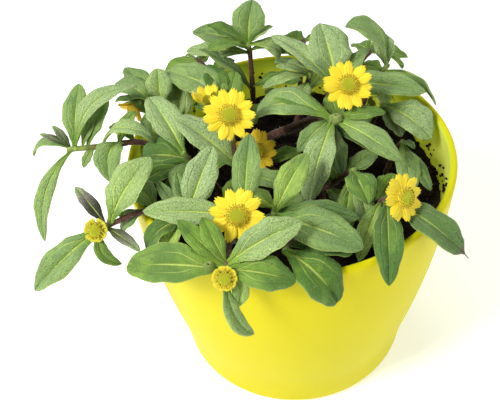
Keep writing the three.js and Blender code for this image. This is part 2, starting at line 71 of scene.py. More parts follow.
# Pot, in millimetres
RIM_RADIUS = 70
POT_HEIGHT = 113.5
LIP_THICKNESS = 3.2
LIP_DROP = 2.5
WALL_THICKNESS = 2.6
FLOOR_THICKNESS = 3
FLOOR_FILLET = 2
FOOT_RADIUS = 54.7
FOOT_FILLET = 3.5
WAIST = (56.7, 20)
WALL_BULGE = (68.4, 68)
INSIDE_DROP = 4
POT_SIDES = 160
# Radius of a profile's end on the axis, where it closes
AXIS = 0.01

# Soil
SOIL_HEIGHT = 92
SOIL_LUMP = 1.3
SOIL_ROUGHNESS = 1.1
SOIL_EDGE = 65.6
SOIL_BASE = 48.5
SOIL_GAP = 0.3
SOIL_INSET = 0.6
SOIL_DIP = {"x": 52, "y": -3, "depth": 7, "spread": 11}
SOIL_RINGS = 44
SOIL_SIDES = 150
# The strip of the pot's inner wall where crumbs stick
BAND_BOTTOM = (66.15, 93)
BAND_RISE = (0.65, 17)
BAND_ROWS = 8
BAND_COLUMNS = 120
# Loose crumbs: their share of the density, their smallest and largest size in millimetres, lean and seed
CRUMBS = {"soil_crumbs": (1, 0.35, 1.35, 1.2, 3), "wall_crumbs": (1.1, 0.25, 0.9, 0.5, 11)}

# Stems and leaves
STEM_FOOT = 86
COLLAR_HEIGHTS = (93, 98)
STEM_RADIUS = 1.2
STEM_TAPER = 0.35
STEM_SIDES = 10
STEM_STEPS = 7
# Share of a stem's length where it turns green
GREEN_FROM = 0.86
# How far a stem swells at a leaf pair, and over what share of its length
KNOT_SWELL = 0.22
KNOT_LENGTH = 0.025
FOLD_ANGLE = 20
GROOVE_HEIGHT = 0.3
BLADE_THICKNESS = 0.45
BLADE_ROWS = 30
BLADE_COLUMNS = 12
# Places along the blade, and the share of the full width there
LEAF_STATIONS = (0, 0.08, 0.17, 0.4, 0.64, 0.86, 0.95, 1)
LEAF_OUTLINE = (0.17, 0.22, 0.42, 0.96, 1.0, 0.62, 0.36, 0)
# Where the margin's teeth begin and end, and where a dried tip begins
TEETH = (0.28, 0.95)
DRIED_FROM = 0.86
# How deep the groove of the midrib is, and how wide as a share of the half blade
RIB_DEPTH = 0.25
RIB_WIDTH = 0.16
# Hairs: radius along them, in millimetres, and their smallest and largest size and lean
HAIR_RADII = (0.035, 0.025, 0.004)
HAIR_SPREAD = {"Smallest": 0.5, "Largest": 1.1, "Lean": 0.5}

# Blooms
CUP_HEIGHT = 3.4
CUP_TOP = -0.3
BRACTS = 10
PETAL_ROWS = 9
PETAL_COLUMNS = 12
PETAL_TAPER = 0.34
TOOTH_DEPTH = 0.13
PETAL_HALF = 0.13
FURROW_DEPTH = 0.12
# How high above the cup the petals and the head stand, and the dome of florets above the head
PETAL_LIFT = 0.35
HEAD_LIFT = 0.7
DOME_LIFT = 0.45
DOME_HEIGHT = 1.7
# Florets: their shares of radius and of height, from the bottom up
CLOSED_FLORET = ((0.6, 0), (0.85, 0.5), (0.75, 0.8), (0.3, 1))
OPEN_FLORET = ((0.5, 0), (0.55, 0.55), (0.95, 0.8), (0.5, 0.86))
ANTHERS = ((0.2, 0.7), (0.48, 1.1), (0.3, 1.35))
# The head under the florets: shares of its radius, and heights
HEAD_PROFILE = ((0.9, 0.0), (0.95, 0.5), (0.8, 1.25), (0.5, 1.85), (0.15, 2.1))
# How many closed and open florets are set on a head of 1 mm radius
CLOSED_CROWD = 16
OPEN_CROWD = 6
GOLDEN_ANGLE = math.radians(137.508)

# Each shoot is a stem with its leaves. Its foot stands in the soil, and its stem's points run up to the tip.
# A leaf is [place, heading, rise, length, width, arch, roll, sideways bend, hook of the tip].
# The place is counted back from the stem's tip, in spans between its points.
# A heading of 0 is +X and 90 is +Y, the rise is above the horizontal, and a roll lifts the right edge.
# Radius is the stem's own, and green_from is the share of its length where it turns green.
# Kinds are those of its leaves, in the order of their rows, and any further ones are fresh.
# Purple says which leaves are flushed, and how far, and dried lists those with dried tips.
# Bud is the radius of a closed bud at the stem's tip. A side bud stands at a place and has a radius.
SHOOTS = [
    {
        "name": "shoot_front_bud", "foot": [-22, -38],
        "stem": [[-23, -54, 117], [-24, -66, 119.5], [-24.5, -71.5, 116.5]],
        "side_bud": [[-30.2, -69.6, 119.3], 2.3], "kinds": "fresh fresh fresh soft young pale fresh",
        "leaves": [
            [0.4, 170, -8, 39, 17, 4, 20], [0.64, 140, 21, 25, 8, 2, 25], [0.8, 124, 36, 19, 8, 2, 15],
            [0.2, -44, -62, 28, 7.5, 3, 0, 6], [0.5, -78, -62, 16, 7, 3, 0, -4],
            [0.72, 20, 21, 32, 14, 3, -20], [0.48, -9, -6, 26, 14, 3, -25],
        ],
    },
    {
        "name": "shoot_front_bloom", "foot": [-14, -28], "stem": [[-18, -42, 116], [-20.2, -50, 126.3]],
        "kinds": "pale soft deep",
        "leaves": [
            [0.6, 178, 4, 38, 12, 2, 20], [0.9, 84, 40, 33, 12, 2], [1.3, -30, 4, 20, 10, 1],
        ],
    },
    {
        "name": "shoot_front_right", "foot": [-2, -20], "stem": [[-6, -37, 115], [-7, -46, 121]],
        "green_from": 0.3, "kinds": "young dull dusk dull lime",
        "leaves": [
            [0.15, 58, 26, 28, 12, 2, -10], [0.09, -27, -1, 37, 17, 3, -20],
            [0.6, -11, 4, 33, 10, 3, -20], [1.4, 42, 0, 18, 10, 1], [1.2, 150, 6, 18, 10, 1],
        ],
    },
    {
        "name": "shoot_low_front", "foot": [6, -38], "stem": [[0, -53, 114], [-3, -60, 116.5]],
        "kinds": "deep dark dusk",
        "leaves": [
            [0.09, -38, -29, 27, 18, 6, -10, 0, 0.1], [0.6, -10, -2, 24, 11, 2], [0.9, 170, 4, 15, 9, 1],
        ],
    },
    {
        "name": "shoot_low_left", "foot": [-34, -22], "stem": [[-38, -37, 113], [-41, -45, 119]],
        "green_from": 0.3, "kinds": "grey dull dusk deep young deep",
        "leaves": [
            [0.15, 63, 38, 30, 14, 2, -15], [0.3, 107, 35, 19, 7, 1], [0.36, 135, 24, 20, 6, 1, 40],
            [0.15, -155, -27, 20, 11, 4], [0.24, -130, -34, 17, 9, 3], [0.9, 165, 6, 15, 9, 2],
        ],
    },
    {
        "name": "shoot_left_bud", "foot": [-42, -20],
        "stem": [[-57, -38, 117], [-67, -44, 118], [-74.9, -46, 115.5]],
        "purple": {1: 0.1, 2: 0.8, 3: 0.95}, "kinds": "soft fresh grey grey pale fresh young dull soft",
        "leaves": [
            [0.1, -149, -29, 36, 15, 2, 10], [0.2, -54, -40, 16, 6, 1, 0, 5],
            [0.32, -40, -1, 20, 5.5, 1], [0.4, 133, 21, 21, 6.5, 1], [0.56, 55, 28, 31, 17, 3],
            [0.5, -175, 0, 8, 4, 0], [1.2, 133, 20, 11, 6, 1], [2, -161, -40, 14, 10, 3],
            [2.2, 137, 32, 15, 11, 2],
        ],
    },
    {
        "name": "shoot_left_long", "foot": [-44, 2],
        "stem": [[-61, 2, 117], [-78, -1, 119], [-94, -5, 121]], "purple": {1: 0.8, 2: 0.7},
        "kinds": "soft soft soft grey soft soft soft soft dull pale soft soft young soft soft",
        "leaves": [
            [0.12, 172, -17, 19, 7, 6], [0.12, 162, 20, 15, 4, 1], [0.12, 138, 33, 13, 4, 1],
            [0.2, 44, 20, 38, 11, 8, 0, -3], [0.2, 88, 33, 29, 12, 2], [0.52, 70, 25, 24, 9, 2],
            [0.16, -116, -43, 41, 9, 4, 0, 4], [0.7, -121, -30, 10, 5, 1], [0.95, -109, -26, 10, 5, 1],
            [0.88, -11, 12, 25, 9, 9, 0, 0, 0.15], [0.38, 66, 30, 15, 5, 1], [1.4, -106, -24, 18, 13, 9],
            [1.3, 59, 31, 16, 8, 2], [1.7, 136, -3, 17, 9, 3], [2.2, 106, 28, 18, 10, 2],
        ],
    },
    {
        "name": "shoot_back_left", "foot": [-44, 26], "stem": [[-56, 26, 116], [-65.5, 24, 123.5]],
        "kinds": "dull pale dull soft soft pale pale deep",
        "leaves": [
            [0.75, 130, 15, 27, 12, 2], [0.9, 98, 46, 18, 13, 2], [0.5, 150, 14, 20, 13, 3],
            [1.2, 170, 6, 24, 11, 2], [1.3, -60, 4, 18, 10, 1], [1.6, 108, 52, 28, 13, 2],
            [1.4, 88, 30, 19, 11, 2], [0.9, -176, 16, 21, 12, 2, -25],
        ],
    },
    {
        "name": "shoot_left_inner", "foot": [-32, -6], "stem": [[-40, -11, 116], [-44, -12, 124]],
        "kinds": "grey deep dull deep deep deep deep",
        "leaves": [
            [0.15, 123, 21, 31, 15, 3], [0.6, 163, -10, 22, 17, 3, 25], [0.8, -100, 6, 22, 12, 2],
            [1, -160, 10, 20, 10, 1], [1.6, -147, 8, 24, 12, 1], [1.1, -147, -4, 36, 12, 7],
            [1.3, 30, 6, 18, 10, 1],
        ],
    },
    {
        "name": "shoot_yellow_green", "foot": [-22, 30], "stem": [[-25, 30, 113], [-34, 14, 124.5]],
        "green_from": 0.3, "kinds": "pale soft deep fresh deep deep",
        "leaves": [
            [0.45, 137, 14, 27, 14, 2], [1, 162, 23, 34, 18, 6, 15, 0, 0.1], [0.7, 122, 32, 22, 13, 2],
            [0.75, 74, 45, 16, 11, 1], [1.2, 175, 8, 20, 12, 1], [1.4, 10, 4, 18, 10, 1],
        ],
    },
    {
        "name": "shoot_middle_bloom", "foot": [-17, -7], "stem": [[-22, -12, 116], [-24, -6.5, 138]],
        "kinds": "grey soft lime",
        "leaves": [
            [1.1, 156, 34, 34, 16, 3, 10], [1.3, -30, 8, 24, 12, 1], [1.4, -110, 4, 18, 10, 1],
        ],
    },
    {
        "name": "shoot_back_tall", "foot": [-17, 46], "stem": [[-17.6, 54, 122], [-18.4, 57, 130]],
        "kinds": "soft deep dull pale pale soft pale fresh fresh dull",
        "leaves": [
            [0.12, 75, 60, 20, 17, 2], [0.15, 169, 24, 21, 11, 1], [0.21, 158, 2, 29, 12, 2, 15],
            [0.21, -8, -38, 15, 12, 6, 0, 0, 0.3], [0.15, 14, 32, 14, 7, 1], [0.6, 25, -9, 22, 9, 1],
            [0.75, 176, 1, 30, 10, 2, 20], [0.54, -153, 18, 22, 10, 3], [1.5, -8, 12, 24, 12, 2],
            [1.6, 177, 46, 34, 9, 3],
        ],
    },
    {
        "name": "shoot_back_young", "foot": [3, 36], "stem": [[8, 38, 117], [10, 38, 126]],
        "kinds": "pale pale pale dusk pale young soft",
        "leaves": [
            [0.21, -153, 3, 24, 7, 2], [0.15, -170, 22, 17, 6, 1], [0.15, -156, 43, 15, 6, 1],
            [0.3, 150, 10, 18, 8, 1], [0.7, -110, -4, 17, 9, 1], [1.2, 52, 18, 22, 11, 1],
            [1.6, 145, 10, 20, 10, 1],
        ],
    },
    {
        "name": "shoot_back_bloom", "foot": [13, 25],
        "stem": [[16, 29, 115], [21, 29, 127], [23.5, 11, 137.6]],
        "kinds": "grey grey soft soft lime dusk",
        "leaves": [
            [1.12, 110, 45, 27, 20, 3], [1.28, 138, 16, 38, 11, 3], [1.28, 29, 35, 22, 10, 1],
            [1.2, -15, 3, 40, 13, 3, -20], [1.6, -80, -4, 18, 10, 1], [2.5, -77, -4, 34, 13, 2],
        ],
    },
    {
        "name": "shoot_woody", "radius": 1.9, "foot": [-9, 27],
        "stem": [[2, 19, 110], [11, 11, 121], [19, -2, 131]], "bud": 2.6, "purple": {7: 0.6},
        "kinds": "soft fresh fresh soft dark dull grey pale",
        "leaves": [
            [0.2, 161, -17, 35, 21, 9, 0, 0, 0.2], [0.14, 146, -2, 34, 12, 3], [0.16, 6, 3, 22, 9, 1],
            [0.12, -36, -12, 33, 12, 3, -10], [0.6, -31, -9, 34, 9, 2, -30],
            [0.24, -138, -18, 20, 9, 2, 10], [0.12, -112, -34, 36, 14, 4], [0.16, -94, -37, 17, 7, 1],
        ],
    },
    {
        "name": "shoot_back_right", "foot": [31, 35], "stem": [[38, 40, 117], [45, 42, 126]],
        "kinds": "dull grey soft pale",
        "leaves": [
            [0.15, 174, 47, 28, 18, 6, 0, 0, 0.2], [0.15, 103, 45, 16, 10, 2],
            [0.36, -44, -8, 30, 9, 4, 60], [0.6, -79, -37, 16, 7, 1],
        ],
    },
    {
        "name": "shoot_right", "foot": [34, 18], "stem": [[38, 22, 112], [42, 24, 118]],
        "kinds": "grey grey dusk",
        "leaves": [
            [0.15, -38, -17, 26, 20, 3], [0.3, -62, -18, 17, 9, 1], [0.9, -150, 0, 18, 10, 1],
        ],
    },
    {
        "name": "shoot_right_low", "foot": [42, 2], "stem": [[46, 6, 107], [49, 7, 111]],
        "kinds": "dusk soft dusk",
        "leaves": [
            [0.15, -57, 12, 8, 4, 1], [0.21, -85, -16, 25, 11, 1], [0.6, -64, -13, 26, 8, 1],
        ],
    },
    {
        "name": "shoot_right_bloom", "foot": [28, -22], "stem": [[36, -33, 115], [39.5, -41.5, 125.3]],
        "dried": [0], "kinds": "dusk deep young lime",
        "leaves": [
            [0.7, -33, -21, 38, 14, 4, -10], [0.8, -93, -14, 37, 12, 4], [1.1, -112, -14, 28, 9, 3],
            [1.3, 60, 4, 18, 9, 1],
        ],
    },
    {
        "name": "shoot_middle_right", "foot": [14, -10], "stem": [[22, -15, 112], [26, -17, 117]],
        "purple": {1: 0.2}, "kinds": "fresh fresh soft fresh dull pale soft deep",
        "leaves": [
            [0.3, -75, 0, 20, 13, 2], [0.15, -74, -16, 16, 8, 1, 40], [0.15, -77, -24, 34, 9, 2],
            [0.3, -99, -22, 31, 9, 1], [0.9, 40, 4, 18, 10, 1], [1.2, 150, 4, 18, 10, 1],
            [1.8, -60, 14, 26, 11, 1], [1.5, 132, 34, 22, 14, 2],
        ],
    },
    {
        "name": "shoot_low_bloom", "foot": [-6, 2], "stem": [[-11, 2, 104], [-15.5, 0.8, 111.5]],
        "leaves": [
            [1, 20, 6, 17, 9, 1],
        ],
    },
]

# Shoots at the back, all alike: they lean out over the rim, and their leaves stand in pairs
REAR_AZIMUTHS = (58, 84, 126)
REAR_FOOT = 45
REAR_STEM = ((58, 116), (72, 119), (80, 115))
REAR_PAIRS = (
    {"place": 1.8, "spread": 80, "rise": 8, "length": 15, "width": 9},
    {"place": 1, "spread": 60, "rise": -16, "length": 17, "width": 10},
    {"place": 0.2, "spread": 38, "rise": -38, "length": 22, "width": 12},
)
REAR_SWAY = 5

# Kinds of leaves: how far each is young and yellow-green, how far it is dark, and how much grey bloom it has
LEAF_KINDS = {
    "young": (0.75, 0.0, 0.25),
    "lime": (0.5, 0.15, 0.05),
    "pale": (0.4, 0.0, 0.65),
    "grey": (0.0, 0.12, 0.9),
    "soft": (0.1, 0.3, 0.5),
    "fresh": (0.25, 0.45, 0.1),
    "dull": (0.0, 0.6, 0.5),
    "deep": (0.1, 0.8, 0.1),
    "dusk": (0.0, 0.9, 0.4),
    "dark": (0.0, 1.0, 0.1),
}

# Each bloom sits on the tip of its shoot and faces [heading, rise]. Tilt lifts the petals.
# It may give its own values for how far petals cup and overlap, how unripe or aged they are, where they
# start, how large the head of florets is, from where on it florets are open, how dark that ring is painted
# as painted shadow between petals and head, and how dark the anthers are. The rest are the open bloom's.
OPEN_BLOOM = {
    "cup": 0.0, "overlap": 1.3, "green": 0.0, "age": 0.0, "start": 0.72, "head": 1.0, "opening": 0.64,
    "ring": 0.0, "anther": 0.85,
}
# A bloom just opening has its ring painted dark, as painted shadow between its inward petals and its head
JUST_OPENING = {
    "cup": -0.3, "overlap": 1.35, "start": 0.92, "head": 0.96, "opening": 0.78, "ring": 0.6, "anther": 0.3,
}
BLOOMS = [
    {"name": "bloom_middle", "shoot": "shoot_middle_bloom", "facing": [-86, 46], "radius": 11,
        "disc": 3.8, "petals": 13, "tilt": 0.08},
    {"name": "bloom_back", "shoot": "shoot_back_bloom", "facing": [-80, 48], "radius": 10.8,
        "disc": 3.7, "petals": 13, "tilt": 0.06},
    {"name": "bloom_front", "shoot": "shoot_front_bloom", "facing": [-88, 44], "radius": 10.9,
        "disc": 3.7, "petals": 13, "tilt": 0.05},
    {"name": "bloom_right", "shoot": "shoot_right_bloom", "facing": [-44, 33], "radius": 9.7,
        "disc": 3.5, "petals": 12, "tilt": 0.02},
    {"name": "bloom_low", "shoot": "shoot_low_bloom", "facing": [-70, 50], "radius": 9.8, "disc": 3.2,
        "petals": 11, "tilt": 0.1, "age": 0.3, "opening": 0.6},
    {"name": "bloom_opening", "shoot": "shoot_yellow_green", "facing": [120, 66], "radius": 6.4,
        "disc": 2.6, "petals": 9, "tilt": 0.8, "cup": 0.1, "overlap": 1.5, "green": 0.25, "opening": 2.0},
    {"name": "bloom_fading", "shoot": "shoot_back_left", "facing": [-140, -30], "radius": 4.8,
        "disc": 1.9, "petals": 6, "tilt": 1, "cup": -0.3, "overlap": 1.6, "age": 0.35, "opening": 0.4},
    {"name": "bud_left", "shoot": "shoot_left_bud", "facing": [-95, 42], "radius": 4.4, "disc": 3,
        "petals": 10, "tilt": 0.5, "green": 0.65, **JUST_OPENING},
    {"name": "bud_front", "shoot": "shoot_front_bud", "facing": [-88, 42], "radius": 4.3, "disc": 2.9,
        "petals": 10, "tilt": 0.5, "green": 0.35, **JUST_OPENING},
]

# Camera, fitted to the pot's rim and sides
CAMERA_PLACE = (0, -255.25, 341.51)
CAMERA_RIGHT = (0.99845893, 0.02128728, -0.0512505)
CAMERA_UP = (0.02088468, 0.71148248, 0.70239341)
CAMERA_FORWARD = (-0.05141588, 0.70238133, -0.70994146)
CAMERA_LENS = 57.6
CAMERA_SENSOR = 36
# Each light's place, size, share of the key light's power, and colour, in metres
LIGHTS = {
    "key": ((-0.58, -0.43, 0.8), 0.28, 1.0, (1.0, 0.98, 0.93)),
    "fill": ((0.8, -0.35, 0.5), 0.6, 0.25, (0.92, 1.0, 0.76)),
    "top": ((-0.1, 0.45, 0.95), 0.4, 0.3, (1.0, 1.0, 0.98)),
    "back": ((0.8, 0.7, 0.55), 0.5, 0.14, (1.0, 1.0, 0.96)),
}
LIGHT_TARGET = (0, 0, 0.1)
# Light of its own that keeps the floor an even white out to its far edge
FLOOR_GLOW = 0.4
FLOOR_HALF = 3000
FLOOR_BOTTOM = -4
FLOOR_TOP = -0.2


def direction(heading, rise):
    """The unit vector at a heading from +X and a rise above the horizontal, both in degrees."""
    level = math.cos(math.radians(rise))
    x = level * math.cos(math.radians(heading))
    y = level * math.sin(math.radians(heading))
    return Vector((x, y, math.sin(math.radians(rise))))


def catmull_rom(points, share):
    """The point at a share of the way along a smooth curve through the points."""
    place = max(0.0, min(1.0, share)) * (len(points) - 1)
    span = min(int(place), len(points) - 2)
    t = place - span
    p1, p2 = points[span], points[span + 1]
    p0 = points[span - 1] if span > 0 else 2 * p1 - p2
    p3 = points[span + 2] if span + 2 < len(points) else 2 * p2 - p1
    t0, t1 = (p2 - p0) * 0.5, (p3 - p1) * 0.5
    square, cube = t * t, t * t * t
    return (2 * cube - 3 * square + 1) * p1 + (cube - 2 * square + t) * t0 \
        + (3 * square - 2 * cube) * p2 + (cube - square) * t1


def tangent_of(points, share):
    """The unit direction of the curve at a share of the way along."""
    step = 1e-3
    return (catmull_rom(points, share + step) - catmull_rom(points, share - step)).normalized()


def bezier(points, t):
    """A cubic curve's point."""
    a, b, c, d = points
    s = 1 - t
    return a * s ** 3 + b * (3 * s * s * t) + c * (3 * s * t * t) + d * t ** 3


def bezier_tangent(points, t):
    """A cubic curve's direction."""
    a, b, c, d = points
    s = 1 - t
    return ((b - a) * (s * s) + (c - b) * (2 * s * t) + (d - c) * (t * t)).normalized()


def blend_between(places, values, at):
    """The value at a place, eased between the listed ones."""
    for i in range(len(places) - 1):
        if at <= places[i + 1]:
            t = (at - places[i]) / (places[i + 1] - places[i])
            t = t * t * (3 - 2 * t) * 0.55 + t * 0.45
            return values[i] + (values[i + 1] - values[i]) * t
    return values[-1]


def object_of(mesh, name):
    """A mesh as an object in the scene."""
    made = bpy.data.objects.new(name, mesh)
    bpy.context.scene.collection.objects.link(made)
    return made


def drop(*objects):
    """Removes helper objects."""
    for helper in objects:
        bpy.data.objects.remove(helper)


def finish_piece(piece, slot, *nodes):
    """Rides a piece on the part's one body, and hides the parts it replaces. The slot is not used."""
    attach(piece, "root")
    if nodes:
        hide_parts(*nodes)


class Shell:
    """Collects corners, faces and the values that the materials read, and makes one mesh of them."""

    def __init__(self):
        self.corners = []
        self.faces = []
        self.slots = []
        self.places = []
        self.tones = []
        self.hair = []

    def add(self, form, slot=0, places=None, tone=(0, 0, 0, 0), hair=0.0, turned=None):
        """Adds a form's corners, in millimetres, and its faces. A tone or hair is one for all or a list."""
        corners, faces = form
        first = len(self.corners)
        self.corners.extend(corners if turned is None else [turned @ corner for corner in corners])
        self.faces.extend([first + index for index in face] for face in faces)
        self.slots.extend([slot] * len(faces))
        self.places.extend(places or [(0.0, 0.0)] * len(corners))
        self.tones.extend(tone if isinstance(tone, list) else [tone] * len(corners))
        self.hair.extend(hair if isinstance(hair, list) else [hair] * len(corners))

    def object(self, name, materials, sharp=40):
        """The collected forms as one object, smooth but for edges sharper than the given angle."""
        mesh = bpy.data.meshes.new(name)
        mesh.from_pydata([tuple(c * MM for c in corner) for corner in self.corners], [], self.faces)
        mesh.polygons.foreach_set("material_index", self.slots)
        for material in materials:
            mesh.materials.append(material)
        layer = mesh.uv_layers.new(name="place")
        for loop in mesh.loops:
            layer.data[loop.index].uv = self.places[loop.vertex_index]
        tones = mesh.attributes.new("tone", "FLOAT_COLOR", "POINT")
        tones.data.foreach_set("color", [value for tone in self.tones for value in tone])
        hair = mesh.attributes.new("hair", "FLOAT", "POINT")
        hair.data.foreach_set("value", self.hair)
        mesh.validate()
        mesh.shade_smooth()
        mesh.set_sharp_from_angle(angle=math.radians(sharp))
        return object_of(mesh, name)


def ring_tube(rings, closed=True):
    """Corners and faces of a tube through rings of corners, with its ends filled where it is closed."""
    sides = len(rings[0])
    faces = []
    for i in range(len(rings) - 1):
        for j in range(sides):
            a, b = i * sides + j, i * sides + (j + 1) % sides
            faces.append((a, b, b + sides, a + sides))
    if closed:
        faces.append(tuple(reversed(range(sides))))
        faces.append(tuple((len(rings) - 1) * sides + j for j in range(sides)))
    return [corner for ring in rings for corner in ring], faces


def circle(radius, height, sides):
    """Corners round a circle at a height."""
    turns = [2 * math.pi * i / sides for i in range(sides)]
    return [Vector((radius * math.cos(turn), radius * math.sin(turn), height)) for turn in turns]


def lathe(profile, sides):
    """A profile of (radius, height) turned about +Z. The profile runs so that its outside is on its right."""
    return ring_tube([circle(radius, height, sides) for radius, height in profile])


def closed_sheet(rows, columns, turned_over=False):
    """Faces of a closed sheet, whose top corners come first, row by row, and then its bottom ones."""
    row = columns + 1
    under = row * (rows + 1)
    faces = []
    for i in range(rows):
        for j in range(columns):
            a = i * row + j
            b = a + row
            faces.append((a, a + 1, b + 1, b))
            faces.append((under + a, under + b, under + b + 1, under + a + 1))
        a, c = i * row, i * row + columns
        faces.append((a, a + row, under + a + row, under + a))
        faces.append((c, under + c, under + c + row, c + row))
    last = rows * row
    for j in range(columns):
        faces.append((j, under + j, under + j + 1, j + 1))
        faces.append((last + j, last + j + 1, under + last + j + 1, under + last + j))
    return [(a, d, c, b) if turned_over else (a, b, c, d) for a, b, c, d in faces]


# Node graphs


def arithmetic(operation, swapped=False):
    """A method that adds a math node, with the two values swapped if asked."""
    def method(wire, other):
        return wire.graph.math(operation, *((other, wire) if swapped else (wire, other)))
    return method


class Wire:
    """The output of a node. Plain arithmetic on it adds math nodes."""
    __add__ = arithmetic("ADD")
    __sub__ = arithmetic("SUBTRACT")
    __rsub__ = arithmetic("SUBTRACT", True)
    __mul__ = arithmetic("MULTIPLY")
    __truediv__ = arithmetic("DIVIDE")

    def __init__(self, graph, socket):
        self.graph = graph
        self.socket = socket


class Graph:
    """Adds nodes to a tree, and feeds each input from a wire or a plain value."""

    def __init__(self, tree):
        self.tree = tree

    def add(self, kind, inputs=None, **settings):
        node = self.tree.nodes.new(kind)
        for key, value in settings.items():
            setattr(node, key, value)
        for key, value in (inputs or {}).items():
            self.feed(node.inputs[key], value)
        return node

    def feed(self, socket, value):
        if isinstance(value, Wire):
            self.tree.links.new(value.socket, socket)
        else:
            socket.default_value = value

    def out(self, keys, kind, inputs=None, **settings):
        """One output of a new node, or a list of them."""
        outputs = self.add(kind, inputs, **settings).outputs
        if isinstance(keys, tuple):
            return [Wire(self, outputs[key]) for key in keys]
        return Wire(self, outputs[keys])

    def math(self, operation, a, b=0.0):
        return self.out(0, "ShaderNodeMath", {0: a, 1: b}, operation=operation)

    def vector(self, x, y, z):
        return self.out(0, "ShaderNodeCombineXYZ", {0: x, 1: y, 2: z})


class Finish(Graph):
    """A material's graph. Its plain values are set on the shader itself."""

    def __init__(self, name, roughness, specular=0.4, subsurface=0.0, sheen=0.0):
        self.material = bpy.data.materials.new(name)
        self.material.use_nodes = True
        super().__init__(self.material.node_tree)
        self.shader = self.tree.nodes["Principled BSDF"]
        self.set("Roughness", roughness)
        self.set("Specular IOR Level", specular)
        self.set("Sheen Weight", sheen)
        self.set("Subsurface Weight", subsurface)
        self.set("Subsurface Radius", (0.6, 1.0, 0.3))
        self.set("Subsurface Scale", 0.0012)
        self.own = self.out("Object", "ShaderNodeTexCoord")

    def set(self, label, value):
        """Feeds one of the shader's inputs."""
        self.feed(self.shader.inputs[label], value)

    def tone(self):
        """The four values of the tone attribute."""
        colour, alpha = self.out(("Color", "Alpha"), "ShaderNodeAttribute", attribute_name="tone")
        return self.out((0, 1, 2), "ShaderNodeSeparateColor", {"Color": colour}) + [alpha]

    def place(self):
        """How far along and how far across its leaf or petal a point is, from 0 to 1."""
        return self.out((0, 1), "ShaderNodeSeparateXYZ", {0: self.out(0, "ShaderNodeUVMap", uv_map="place")})

    def ease(self, value, low, high):
        """0 below low and 1 above high, with a smooth rise between."""
        inputs = {"Value": value, "From Min": low, "From Max": high}
        return self.out(0, "ShaderNodeMapRange", inputs, interpolation_type="SMOOTHSTEP")

    def noise(self, scale, detail=3.0, roughness=0.5):
        """Soft noise over the piece's own coordinates."""
        inputs = {"Vector": self.own, "Scale": scale, "Detail": detail, "Roughness": roughness}
        return self.out("Fac", "ShaderNodeTexNoise", inputs)

    def cells(self, keys, scale):
        """Small cells over the piece's own coordinates."""
        return self.out(keys, "ShaderNodeTexVoronoi", {"Vector": self.own, "Scale": scale})

    def mix(self, share, a, b):
        """A colour between a and b."""
        return self.out(2, "ShaderNodeMix", {0: share, 6: a, 7: b}, data_type="RGBA")

    def layers(self, ground, colours, *layers):
        """The ground under further colours, each given with its share."""
        for share, name in layers:
            ground = self.mix(share, ground, colours[name])
        return ground

    def paint(self, colour, height, distance, strength):
        """Gives the shader its colour and relief, and returns the material."""
        inputs = {"Height": height, "Distance": distance, "Strength": strength}
        self.set("Base Color", colour)
        self.set("Normal", self.out("Normal", "ShaderNodeBump", inputs))
        return self.material


# Materials


def linear(red, green, blue):
    """A colour as seen on screen, from 0 to 255, in the linear values that shaders take."""
    shares = (value / 255 for value in (red, green, blue))
    return (*(s / 12.92 if s <= 0.04045 else ((s + 0.055) / 1.055) ** 2.4 for s in shares), 1.0)


def palette(**colours):
    """Colours by name. Those as seen on screen have three values, and ready ones have four."""
    return {name: linear(*value) if len(value) == 3 else tuple(value) for name, value in colours.items()}


